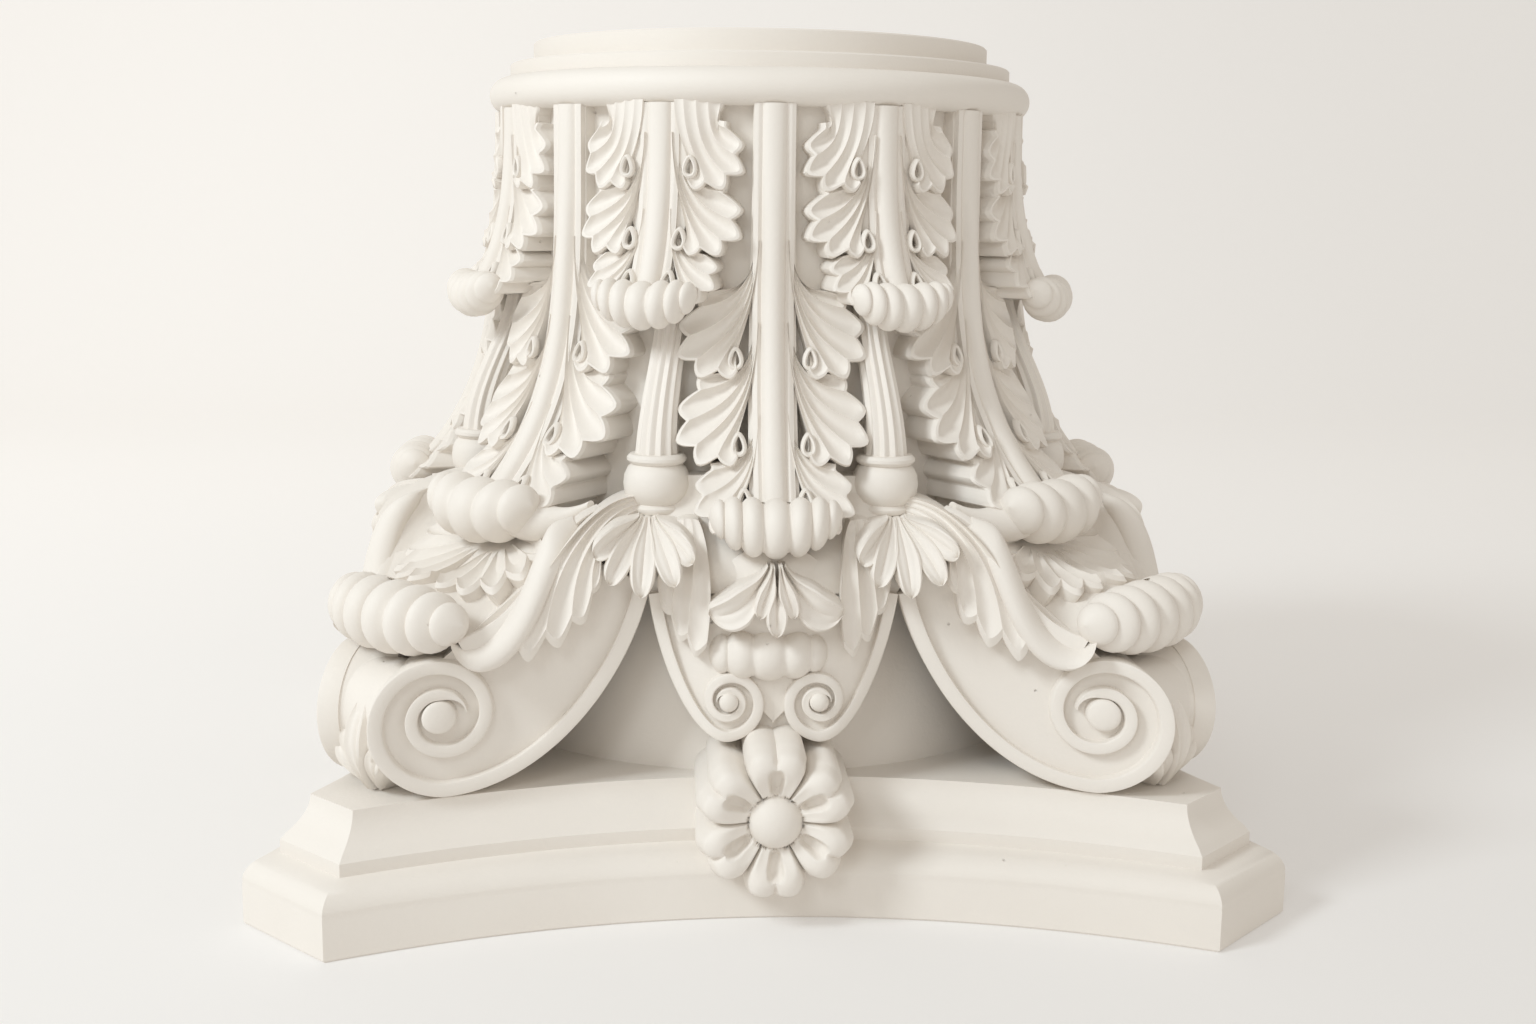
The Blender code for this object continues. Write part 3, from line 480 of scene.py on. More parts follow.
def finger_relief(place, share, depth):
    """Height of a scooped finger: a hollow between sharp ridges, with a thin lip at its tip.

    The hollow deepens over the first half of the run and grows shallower near the tip, where
    the whole finger lifts. Its last edge drops again.
    """
    off = np.abs(2.0 * np.mod(place + 0.5, 1.0) - 1.0)
    deep = depth * (0.30 + 0.70 * smooth(share / 0.55))
    deep = deep * (1.0 - 0.45 * smooth((share - 0.7) / 0.3))
    lift = 0.55 * depth * smooth((share - 0.45) / 0.5)
    lip = 0.45 * depth * np.exp(-((share - 0.955) / 0.035) ** 2)
    edge = -0.6 * depth * smooth((share - 0.975) / 0.025)
    return -deep * (1.0 - off ** 1.9) + lift + lip + edge


def notch(place, share_cut):
    """Share of each line that is kept: whole at finger middles, cut back at ridges."""
    off = np.abs(2.0 * np.mod(place + 0.5, 1.0) - 1.0)
    return 1.0 - share_cut * off ** 1.45


def fan_grid(root, length, spread, above, first, last):
    """Flat (across, up) points of an acanthus fan, each one's finger and its share of the run.

    The lines start side by side above the root, run down along the rib and then turn out.
    """
    columns = int(round((last - first) * FAN_STEPS)) + 1
    place = np.linspace(first, last, columns)[None, :]
    reach = 1.0 - (1.0 - np.linspace(0.0, 1.0, FAN_ROWS)[:, None]) ** 1.35
    share = reach * notch(place, 0.125)
    ahead = np.radians(fan_line(place, 3))
    start = np.stack([root[0] + spread * length * (4.5 - place),
                      root[1] + above * length + 0.0 * place], axis=-1)
    end = np.stack([root[0] + length * fan_line(place, 1),
                    root[1] + length * fan_line(place, 2)], axis=-1)
    arrive = end - length * fan_line(place, 4)[..., None] \
        * np.stack([np.cos(ahead), np.sin(ahead)], axis=-1)
    leave = start + length * (fan_line(place, 5) + above)[..., None] * np.array([0.03, -1.0])
    flat = cubic(share[..., None], start, leave, arrive, end)
    return flat, place + 0.0 * share, reach + 0.0 * place


def leaf_radius(row, height):
    """Leaf profile: the radius grows as a power of the fall from the top to the curl."""
    fall = np.clip((row["top"] - height) / (row["top"] - row["curl_height"]), 0.0, 1.03)
    return NECK_RADIUS + row["root"] + row["reach"] * fall ** row["bend"]


def leaf(row):
    """One acanthus leaf at the front: its body, fans and eyes, the rib, and the rolled tip."""
    skin = Skin()
    leaf_body(skin, row)
    for hand in (1.0, -1.0):
        for height, length, *spread in row["fans"]:
            flat, place, reach = fan_grid((FAN_ROOT_ACROSS, height), length, *spread)
            lift = finger_relief(place, reach, FAN_DEPTH * length)
            lift = lift + FAN_TILT * (place - FAN_LEVEL)
            skin.patch(on_leaf(row, hand * flat[..., 0], flat[..., 1], lift), into_bell)
        for across, height in row["eyes"]:
            leaf_eye(skin, row, hand * across, height)
    leaf_rib(skin, row)
    leaf_roll(skin, row)
    return skin


def on_leaf(row, across, height, lift):
    """Points of a leaf from its flat (across, up) plane, lifted off its profile."""
    base = leaf_radius(row, height)
    radius = base + lift
    angle = across / base
    return at_front(radius * np.cos(angle), radius * np.sin(angle), height)


def leaf_body(skin, row):
    """The plain middle of a leaf, under its fans: wide at the top, narrow at the roll."""
    height = np.linspace(row["top"], row["curl_height"], 32)[:, None]
    share = (row["top"] - height) / (row["top"] - row["curl_height"])
    wide, narrow = row["body"]
    half = wide + (narrow - wide) * smooth(1.2 * share)
    across = np.linspace(-1.0, 1.0, 17)[None, :]
    lift = -BODY_SUNK - BODY_ROUNDING * np.abs(across) ** 2
    skin.patch(on_leaf(row, across * half, height, lift), into_bell)


def leaf_eye(skin, row, across, height):
    """The rim of a leaf's eye: a thin round bead along a drop-shaped ring."""
    turn = np.linspace(0.0, tau, 26, endpoint=False)[:, None]
    about = np.linspace(0.0, tau, 8, endpoint=False)[None, :]
    drop = 1.0 - 0.35 * np.sin(turn)
    wide = EYE_HALF_WIDTH * drop + EYE_BEAD * np.cos(about)
    tall = EYE_HALF_HEIGHT + EYE_BEAD * np.cos(about)
    skin.ring(on_leaf(row, across + wide * np.cos(turn), height + tall * np.sin(turn),
                      EYE_LIFT + 1.9 * EYE_BEAD * np.sin(about)))


def leaf_rib(skin, row):
    """The half-round rib down the middle, with a groove and a bead on each side."""
    across = np.linspace(-1.0, 1.0, 25)[None, :] * RIB_STRIP
    height = np.linspace(row["top"], row["curl_height"] + 0.75 * row["curl"], 40)[:, None]
    off = np.abs(across)
    strong = 0.5 + 0.5 * smooth((row["top"] - height) / 0.10)
    round_part = RIB_HEIGHT * np.sqrt(np.clip(1.0 - (off / RIB_HALF_WIDTH) ** 2, 0.0, 1.0))
    bead = RIB_BEAD_HEIGHT * np.exp(-((off - RIB_BEAD_PLACE) / RIB_BEAD_WIDTH) ** 2)
    skin.patch(on_leaf(row, across, height, -0.0008 + strong * (round_part + bead)), into_bell)


def roll_rings(half, radius, ribs, groove, sag, rise, taper=0.5):
    """Rings of a rolled leaf tip as (along, out, up) from its middle.

    The radius is thinner towards the ends and dips in a groove between ribs. The roll bends
    back by sag and up by rise at its ends.
    """
    share = np.linspace(-1.0, 1.0, 10 * ribs + 1)[:, None]
    angle = np.linspace(0.0, tau, 26, endpoint=False)[None, :]
    phase = ribs * 0.5 * (1.0 + share - 0.08 * np.sin(pi * share))
    wave = np.abs(np.sin(pi * phase))
    size = radius * (1.0 - taper * np.abs(share) ** 3.0) * (1.0 - groove * (1.0 - wave ** 0.55))
    tip = np.sqrt(np.clip(1.0 - np.abs(share) ** 12.0, 0.0, 1.0))
    size = np.maximum(size * tip, 0.0004)
    return np.stack(np.broadcast_arrays(half * share, size * np.cos(angle) - sag * share ** 2,
                                        size * np.sin(angle) + rise * share ** 2), axis=-1)


def place_roll(skin, rings, out, height, across=0.0):
    """Add a roll's rings at a place of the front."""
    skin.loft(at_front(out + rings[..., 1], across + rings[..., 0], height + rings[..., 2]))


def leaf_roll(skin, row):
    """The rolled tip of a leaf, on its own level axis across the leaf."""
    centre = NECK_RADIUS + row["root"] + row["reach"]
    rings = roll_rings(row["half_curl"], row["curl"], row["curl_ribs"], ROLL_GROOVE,
                       row["half_curl"] ** 2 / (2.0 * centre), ROLL_RISE)
    place_roll(skin, rings, centre, row["curl_height"])
    if "tail" in row:
        leaf_tail(skin, row, centre)


def leaf_tail(skin, row, centre):
    """The two tails of a corner leaf's roll: round bars along a curve, thinner to their ends."""
    start = np.array((TAIL_START * row["half_curl"], centre - TAIL_SUNK,
                      row["curl_height"] + TAIL_RISE))
    run = np.linspace(0.0, 1.0, 30)
    along, out, height = through((start, *row["tail"]), run).T[:, :, None]
    about = np.linspace(0.0, tau, 20, endpoint=False)[None, :]
    thick = TAIL_THICKNESS * row["curl"] * (1.0 - 0.80 * run[:, None] ** 1.3)
    for hand in (1.0, -1.0):
        skin.loft(at_front(out + thick * np.cos(about), hand * along,
                           height + thick * np.sin(about)))


def lathe(outline, steps):
    """Closed turned shape about the axis from (radius, height) points, bottom to top."""
    skin = Skin()
    outline = np.asarray(outline, float)
    angle = np.linspace(0.0, tau, steps, endpoint=False)[None, :]
    radius, height = outline[:, :1], outline[:, 1:]
    skin.loft(np.stack(np.broadcast_arrays(radius * np.cos(angle), radius * np.sin(angle),
                                           height), axis=-1))
    return skin


def bell():
    """The vase, its half-round astragal, fillet and round seat."""
    low = np.linspace(ABACUS_HEIGHT - 0.02, ASTRAGAL_FOOT, 40)
    outline = [(float(bell_radius(height)), height) for height in low]
    half = ASTRAGAL_HEIGHT / 2.0
    for angle in np.radians(np.linspace(-88.0, 88.0, 17)):
        outline.append((ASTRAGAL_RADIUS - half + half * cos(angle),
                        ASTRAGAL_FOOT + half + half * sin(angle)))
    fillet_foot = ASTRAGAL_FOOT + ASTRAGAL_HEIGHT
    seat_foot = fillet_foot + NECK_FILLET_HEIGHT
    soft = 0.0009
    outline += [(NECK_FILLET_RADIUS, fillet_foot), (NECK_FILLET_RADIUS, seat_foot - soft),
                (NECK_FILLET_RADIUS - soft, seat_foot), (SEAT_RADIUS, seat_foot),
                (SEAT_RADIUS, seat_foot + SEAT_HEIGHT - soft),
                (SEAT_RADIUS - soft, seat_foot + SEAT_HEIGHT)]
    return lathe(outline, 192)


def abacus():
    """The slab: one hollow-sided outline per height, drawn in as the mouldings rise."""
    skin = Skin()
    ovolo_top = ABACUS_FACE + ABACUS_OVOLO
    fillet_top = ovolo_top + ABACUS_FILLET
    soft = 0.0012
    levels = [(0.0, soft), (soft, 0.0), (ABACUS_FACE - soft, 0.0), (ABACUS_FACE, 0.3 * soft)]
    for step in np.linspace(0.1, 1.0, 10):
        levels.append((ABACUS_FACE + ABACUS_OVOLO * step,
                       ABACUS_OVOLO_INSET * (1.0 - sqrt(1.0 - step ** 2))))
    inset = ABACUS_OVOLO_INSET + ABACUS_FILLET_INSET
    levels += [(ovolo_top + 0.0003, inset), (fillet_top - soft, inset),
               (fillet_top, inset + soft)]
    for step in np.linspace(0.1, 1.0, 10):
        levels.append((fillet_top + ABACUS_CAVETTO * step,
                       inset + ABACUS_CAVETTO_INSET * (1.0 - (1.0 - step) ** 2)))
    whole = inset + ABACUS_CAVETTO_INSET
    share = np.linspace(-1.0, 1.0, 49)
    rings = []
    for height, drawn in levels:
        reach = ABACUS_REACH - drawn
        corner = reach - ABACUS_CHAMFER + ABACUS_CHAMFER_TAKEN * drawn / whole
        side = np.stack([corner * share, -reach + ABACUS_HOLLOW * (1.0 - share ** 2)], axis=-1)
        ring = [side]
        for _ in range(3):
            side = np.stack([-side[:, 1], side[:, 0]], axis=-1)
            ring.append(side)
        ring = np.concatenate(ring)
        rings.append(np.concatenate([ring, np.full((len(ring), 1), height)], axis=1))
    skin.loft(rings)
    return skin


def through(points, share):
    """Smooth curve through a few evenly spaced points, at shares of its run."""
    points = np.asarray(points, float)
    fit = np.polyfit(np.linspace(0.0, 1.0, len(points)), points, len(points) - 1)
    return np.stack([np.polyval(fit[:, column], share) for column in range(points.shape[1])],
                    axis=-1)


def on_side(flat, depth_of, lift=0.0):
    """Points of a side from its flat (across, height) plane, lifted off a depth."""
    return at_front(depth_of(flat[..., 0]) + lift, flat[..., 0], flat[..., 1])


def scroll_path(centre, bottom, radius, towards, turns):
    """Outer edge of a scroll in the side's flat (across, height) plane.

    A cubic curve falls from the fork to the scroll's lowest point. A spiral follows, whose
    radius keeps the same share of itself on each turn. towards is 1 for a scroll that runs
    outwards from the fork, and -1 for one that runs to the middle.
    """
    run, drop = abs(centre - FORK_SIDEWAYS), FORK_HEIGHT - bottom
    share = np.linspace(0.0, 1.0, SWEEP_STEPS, endpoint=False)[:, None]
    sweep = cubic(share, np.array((FORK_SIDEWAYS, FORK_HEIGHT)),
                  np.array((FORK_SIDEWAYS + towards * 0.11 * run, FORK_HEIGHT - 0.46 * drop)),
                  np.array((centre - towards * 0.5 * run, bottom)), np.array((centre, bottom)))
    turn = np.linspace(0.0, turns, int(round(turns * TURN_STEPS)) + 1)
    size = radius * SCROLL_SHRINK ** turn
    spiral = np.stack([centre + towards * size * np.sin(tau * turn),
                       bottom + radius - size * np.cos(tau * turn)], axis=-1)
    return np.concatenate([sweep, spiral])


# Section of a rim: share of its width inwards, millimetres off the face. It starts and ends
# 12 mm behind the face, out of sight.
RIM_SECTION = np.array(((0.0, -12.0), (0.0, -1.3), (0.05, -0.4), (0.17, 0.0), (0.5, -0.15),
                        (0.83, 0.0), (0.95, -0.4), (1.0, -1.3), (1.0, -12.0)))


def scroll_rim(skin, path, depth_of, towards, width, end_share):
    """The raised band just inside a scroll's outer edge, narrower along its run."""
    ahead = np.gradient(path, axis=0)
    ahead /= np.linalg.norm(ahead, axis=1)[:, None]
    inward = towards * np.stack([-ahead[:, 1], ahead[:, 0]], axis=-1)
    run = np.linspace(0.0, 1.0, len(path))[:, None, None]
    wide = width * (1.0 + (end_share - 1.0) * run) * (1.0 - 0.85 * smooth((run - 0.9) / 0.1))
    flat = path[:, None] + inward[:, None] * wide * RIM_SECTION[None, :, :1]
    lift = 0.001 * RIM_SECTION[None, :, 1] + 0.0 * flat[..., 0]
    skin.loft(on_side(flat, depth_of, lift))


def scroll_floor(skin, path, closing, middle, steps, depth_of, step):
    """The floor of a scroll's channel: rings from a middle out to the scroll's outer edge.

    closing holds the points that lead from the scroll back to the fork, behind other forms.
    """
    outline = np.concatenate([path[:SWEEP_STEPS + FLOOR_STEPS], closing])
    outline = middle + (outline - middle) * FLOOR_DRAWN_IN
    share = np.linspace(0.0, 1.0, steps)[:, None, None]
    skin.cushion(on_side(middle + (outline[None] - middle) * share, depth_of, -step), into_wall)


def boss(skin, centre, radius, depth_of, rise):
    """A round raised eye: a low dome on a short upright edge."""
    angle = np.linspace(0.0, tau, 40, endpoint=False)
    outline = centre + radius * np.stack([np.cos(angle), np.sin(angle)], axis=-1)
    share = np.sin(np.linspace(0.0, 0.5 * pi, 9))[:, None, None]
    flat = centre + (outline[None] - centre) * share
    lift = rise * np.sqrt(np.clip(1.0 - share[..., 0] ** 2, 0.0, 1.0)) + 0.0 * flat[..., 0]
    skin.cushion(on_side(flat, depth_of, lift), into_wall)


VOLUTE_CLOSING = np.array(((0.160, 0.160), (0.132, 0.184), (0.108, 0.196), (0.084, 0.192)))
VOLUTE_MIDDLE = np.array((0.150, 0.120))
HELIX_CLOSING = np.array(((-0.001, 0.106), (-0.001, 0.185), (0.050, 0.192), (0.078, 0.193)))
HELIX_MIDDLE = np.array((0.026, 0.135))


def volute():
    """The scroll under a corner: its channel's floor, its rim and its eye."""
    skin = Skin()
    path = scroll_path(VOLUTE_CENTRE, VOLUTE_BOTTOM, VOLUTE_RADIUS, 1.0, VOLUTE_TURNS)
    scroll_floor(skin, path, VOLUTE_CLOSING, VOLUTE_MIDDLE, 16, face_depth, SCROLL_STEP)
    scroll_rim(skin, path, face_depth, 1.0, VOLUTE_RIM, VOLUTE_RIM_END)
    centre = np.array((VOLUTE_CENTRE, VOLUTE_BOTTOM + VOLUTE_RADIUS)) + np.array(VOLUTE_EYE_SHIFT)
    boss(skin, centre, VOLUTE_EYE_RADIUS, face_depth, VOLUTE_EYE_RISE)
    return skin


def helix():
    """The small scroll beside the middle of a side, its eye, and the walls around it."""
    skin = Skin()
    path = scroll_path(HELIX_CENTRE, HELIX_BOTTOM, HELIX_RADIUS, -1.0, HELIX_TURNS)
    scroll_floor(skin, path, HELIX_CLOSING, HELIX_MIDDLE, 12, helix_depth, 0.8 * SCROLL_STEP)
    scroll_rim(skin, path, helix_depth, -1.0, HELIX_RIM, HELIX_RIM_END)
    boss(skin, np.array((HELIX_CENTRE, HELIX_BOTTOM + HELIX_RADIUS)), HELIX_EYE_RADIUS,
         helix_depth, HELIX_EYE_RISE)
    helix_wall(skin)
    helix_shoulder(skin)
    return skin


def helix_wall(skin):
    """The wall between the two helices: their own face, set back by one step."""
    across = np.linspace(0.0, 0.030, 9)[None, :]
    height = np.linspace(0.098, 0.160, 9)[:, None]
    skin.patch(at_front(helix_depth(across) - HELIX_WALL_STEP, across, height), into_wall)


def helix_shoulder(skin):
    """The wall above the helices: from near the bell, at its top, it eases forward to them."""
    across = np.linspace(0.0, 0.064, 17)[None, :]
    height = np.linspace(0.178, 0.236, 17)[:, None]
    ahead = smooth((SHOULDER_TOP - height) / SHOULDER_EASE)
    depth = SHOULDER_BACK + (helix_depth(across) - SHOULDER_STEP - SHOULDER_BACK) * ahead
    skin.patch(at_front(depth, across, height), into_wall)


def lobe(lines, depth_of, lift, depth):
    """A hanging leaf lobe on a side: fingers side by side from a root, cut between tips.

    Each line is a finger's middle as the four points of a cubic curve, and the lines
    between them blend their points.
    """
    skin = Skin()
    count = len(lines)
    place = np.linspace(-0.5, count - 0.5, 12 * count + 1)[None, :]
    points = through(np.reshape(lines, (count, 8)), place / (count - 1))
    reach = np.linspace(0.0, 1.0, 20)[:, None] + 0.0 * place
    share = (reach * notch(place, 0.09))[..., None]
    flat = cubic(share, *(points[..., 2 * step:2 * step + 2] for step in range(4)))
    height = lift * (3.9 * smooth(1.8 * reach) - 2.9) + finger_relief(place, reach, depth)
    skin.patch(on_side(flat, depth_of, height), into_wall)
    return skin


# Fingers of the side lobes, each the four (across, height) points of a curve
OUTER_LOBE = (((0.0695, 0.2170), (0.0900, 0.2150), (0.098, 0.203), (0.0930, 0.1850)),
              ((0.0695, 0.2195), (0.0960, 0.2200), (0.105, 0.193), (0.1015, 0.1635)),
              ((0.0695, 0.2220), (0.1020, 0.2250), (0.116, 0.187), (0.1150, 0.1505)),
              ((0.0695, 0.2240), (0.1050, 0.2295), (0.127, 0.185), (0.1310, 0.1435)))
INNER_LOBE = (((0.051, 0.215), (0.052, 0.205), (0.058, 0.192), (0.0605, 0.169)),
              ((0.047, 0.216), (0.045, 0.203), (0.051, 0.180), (0.052, 0.152)),
              ((0.043, 0.216), (0.0375, 0.202), (0.040, 0.172), (0.0430, 0.144)))


def on_corner(flat, depth):
    """A side's flat points seen from the corner at its right hand, as (along, across, up)."""
    half = sqrt(0.5)
    return half * (flat[..., 0] + depth), half * (flat[..., 0] - depth), flat[..., 1]


SADDLE_INNER = np.array(((0.150, 0.160), (0.140, 0.130), (0.150, 0.100)))


def saddle():
    """The broad saddle between the two volutes of a corner.

    Its rings go from one volute's outline to the other's and draw in halfway.
    """
    skin = Skin()
    path = scroll_path(VOLUTE_CENTRE, VOLUTE_BOTTOM, VOLUTE_RADIUS, 1.0, SADDLE_TURNS)
    centre = np.array((VOLUTE_CENTRE, VOLUTE_BOTTOM + VOLUTE_RADIUS))
    outline = np.concatenate([path[SADDLE_START:], SADDLE_INNER])
    share = np.linspace(0.0, 1.0, 25)[:, None]
    drawn = SADDLE_DRAWN_IN * (1.0 - (2.0 * share - 1.0) ** 4)
    flat = centre + (outline[None] - centre) * (1.0 - drawn[..., None])
    depth = face_depth(flat[..., 0]) - SCROLL_STEP - SADDLE_STEP
    along, across, height = on_corner(flat, depth)
    skin.loft(at_front(along, across * (1.0 - 2.0 * share), height))
    return skin


# The corner leaf's side, its thick rim and its middle line, as (along the diagonal, across, up)
BAND = ((0.200, 0.068, 0.218), (0.234, 0.069, 0.200), (0.252, 0.064, 0.171),
        (0.281, 0.050, 0.148))
BAND_EDGE = ((0.218, 0.067, 0.214), (0.235, 0.069, 0.203), (0.247, 0.068, 0.183),
             (0.257, 0.063, 0.162), (0.270, 0.055, 0.148), (0.286, 0.049, 0.152))
CROWN = ((0.184, 0.0, 0.212), (0.222, 0.0, 0.194), (0.256, 0.0, 0.177), (0.290, 0.0, 0.184))


def corner_leaf():
    """The leaf over a corner: a hollow blade between two thick edges, and its rolled tip."""
    skin = Skin()
    corner_blade(skin)
    for hand in (1.0, -1.0):
        corner_rim(skin, hand)
    place_roll(skin, roll_rings(**CORNER_ROLL), CORNER_ROLL_OUT, CORNER_ROLL_HEIGHT)
    return skin


def corner_blade(skin):
    """The blade: it bends from its middle line to its sides as the square of the way across.

    A low welt stands inside each edge, with a hollow beside it.
    """
    share = np.linspace(0.0, 1.0, 40)
    band, crown = through(BAND, share)[:, None], through(CROWN, share)[:, None]
    side = np.linspace(-1.0, 1.0, 61)[None, :]
    off = np.abs(side)
    grid = crown + (band - crown) * off[..., None] ** 2.0
    lift = 0.0050 * np.exp(-((off - 0.93) / 0.07) ** 2)
    lift = lift - 0.006 * np.exp(-((off - 0.70) / 0.16) ** 2)
    skin.patch(at_front(grid[..., 0] + 0.5 * lift, band[..., 1] * side, grid[..., 2] + lift),
               lambda edge: np.stack([edge[:, 0] * 0.8, edge[:, 1] + 0.035, edge[:, 2] - 0.020],
                                     axis=-1))


def corner_rim(skin, hand):
    """One thick edge of the blade: an oval bar along BAND_EDGE, thinner to both ends."""
    run = np.linspace(0.0, 1.0, 48)
    along, across, height = through(BAND_EDGE, run).T[:, :, None]
    about = np.linspace(0.0, tau, 16, endpoint=False)[None, :]
    run = run[:, None]
    thick = CORNER_RIM * (0.4 + 0.6 * smooth(5.0 * run)) * (1.0 - 0.30 * run)
    skin.loft(at_front(along + 1.1 * thick * np.cos(about),
                       hand * (across + 1.3 * thick * np.cos(about + 0.9)),
                       height + 1.2 * thick * np.sin(about)))


def corner_fans():
    """The palmette in the hollow of a corner leaf, below the tall leaf's curl.

    Its fingers turn evenly about its root and lie on the blade between middle line and side.
    """
    skin = Skin()
    place = np.linspace(-0.5, 4.5, 61)[None, :]
    reach = np.linspace(0.0, 1.0, 20)[:, None]
    angle = np.radians(-90.0 + PALMETTE_FINGER_TURN * (place + 0.5))
    out = reach * notch(place, 0.16) * (PALMETTE_LENGTH - 0.0012 * (place - 1.0) ** 2)
    run = PALMETTE_ROOT - 0.95 * out * np.sin(angle)
    where = (run - 0.180) / (0.292 - 0.180)
    crown, band = through(CROWN, where), through(BAND, where)
    lift = 0.004 * smooth(2.0 * reach) + finger_relief(place, reach + 0.0 * place, PALMETTE_DEPTH)
    for hand in (1.0, -1.0):
        across = hand * (PALMETTE_ROOT_ACROSS + out * np.cos(angle))
        beside = np.clip(np.abs(across) / 0.07, 0.0, 1.0) ** 2
        height = crown[..., 2] + (band[..., 2] - crown[..., 2]) * beside
        skin.patch(at_front(run + 0.4 * lift, across, height + lift),
                   lambda edge: edge + np.array((0.0, 0.010, -0.014)))
    return skin


SIDEWAYS, FORWARD = (1.0, 0.0, 0.0), (0.0, -1.0, 0.0)


def petal(skin, line, side, out, half_width, swell, sink):
    """One petal along a line of points: raised edges, a hollow and a crease in its middle.

    It widens over the first half of its line and rounds off to its tip. side and out are unit
    directions across it and off it; sink is its hidden depth.
    """
    share = np.linspace(0.0, 1.0, 22)[:, None]
    across = np.linspace(-1.0, 1.0, 17)[None, :]
    middle = through(line, share[:, 0])[:, None]
    width = half_width * (0.22 + 0.78 * smooth(1.9 * share)) \
        * np.sqrt(np.clip(1.0 - np.clip((share - 0.55) / 0.45, 0.0, 1.0) ** 2.2, 0.0004, 1.0))
    off = np.abs(across)
    lift = swell * (0.9 * np.exp(-((off - 0.78) / 0.2) ** 2) + 0.25 * (1.0 - off ** 2)
                    - 0.7 * np.exp(-(off / 0.16) ** 2) * smooth(3.0 * (1.0 - share)))
    lift = lift - swell * smooth((off - 0.86) / 0.14)
    side, out = np.asarray(side, float), np.asarray(out, float)
    points = middle + (across * width)[..., None] * side + lift[..., None] * out
    skin.patch(points, lambda edge: edge - sink * out)


# The collar's outline from its top ring over the bulb to its low ring, as (radius, height)
COLLAR = np.array(((0.0110, 0.2478), (0.0150, 0.2475), (0.0166, 0.2458), (0.0166, 0.2442),
                   (0.0150, 0.2425), (0.0140, 0.2420), (0.0162, 0.2400), (0.0180, 0.2360),
                   (0.0186, 0.2310), (0.0180, 0.2262), (0.0162, 0.2222), (0.0142, 0.2202),
                   (0.0150, 0.2197), (0.0164, 0.2182), (0.0164, 0.2168), (0.0150, 0.2150),
                   (0.0110, 0.2148)))


def stalk():
    """The fluted stalk, which leaves the bell as it comes down, and its collar."""
    skin = Skin()
    angle = np.linspace(0.0, tau, 72, endpoint=False)[None, :]
    out = float(bell_radius(STALK_FOOT)) + COLLAR_PROUD
    height = np.linspace(STALK_TOP, STALK_FOOT, 24)[:, None]
    share = (STALK_TOP - height) / (STALK_TOP - STALK_FOOT)
    radius = STALK_RADIUS + STALK_SWELL * share ** 2 + FLUTE_DEPTH * np.cos(STALK_FLUTES * angle)
    near = bell_radius(height)
    axis = near + STALK_SUNK + (out - STALK_SUNK - near) * smooth(share)
    skin.loft(at_front(axis + radius * np.cos(angle), radius * np.sin(angle), height))
    radius, height = COLLAR[:, :1], COLLAR[:, 1:]
    skin.loft(at_front(out + radius * np.cos(angle), radius * np.sin(angle), height))
    return skin


# A petal's sizes, here and below: half width, swell, and how deep its back is hidden

# Petals under a collar: their tips and their root as (across, height, out), and the way of each
# from root to tip as shares of the three
CALYX_TIPS = ((0.0967, 0.2007, 0.227), (0.0885, 0.1862, 0.230), (0.0717, 0.1795, 0.232),
              (0.0535, 0.1854, 0.231), (0.0443, 0.1972, 0.228))
CALYX_ROOT = (0.0680, 0.2150, 0.190)
CALYX_WAY = ((0.16, 0.0, 0.0), (0.40, 0.26, 0.52), (0.74, 0.62, 0.94), (1.0, 1.0, 1.0))
CALYX_SIZES = (0.0074, 0.0032, 0.030)


def calyx():
    """The five petals that open out under a stalk's collar."""
    skin = Skin()
    root = np.array(CALYX_ROOT)
    for tip in CALYX_TIPS:
        away = np.array(tip) - root
        line = [root + away * np.array(part) for part in CALYX_WAY]
        ahead = away[:2] / np.linalg.norm(away[:2])
        petal(skin, [(point[0], -point[2], point[1]) for point in line],
              (-ahead[1], 0.0, ahead[0]), FORWARD, *CALYX_SIZES)
    return skin


# Petals of the bowl leaf's flower, as (across, depth, height), the right hand of each pair
BUD_WIDE_PETAL = ((0.004, -0.226, 0.194), (0.013, -0.233, 0.180), (0.024, -0.234, 0.171),
                  (0.036, -0.228, 0.170))
BUD_SLIM_PETAL = ((0.002, -0.232, 0.196), (0.004, -0.237, 0.186), (0.007, -0.238, 0.177),
                  (0.009, -0.236, 0.169))
BUD_MIDDLE_PETAL = ((0.0, -0.232, 0.184), (0.0, -0.238, 0.176), (0.0, -0.239, 0.168),
                    (0.0, -0.236, 0.159))
BUD_WIDE_SIZES = (0.0110, 0.0030, 0.020)
BUD_SLIM_SIZES = (0.0050, 0.0024, 0.018)
BUD_MIDDLE_SIZES = (0.0060, 0.0028, 0.018)


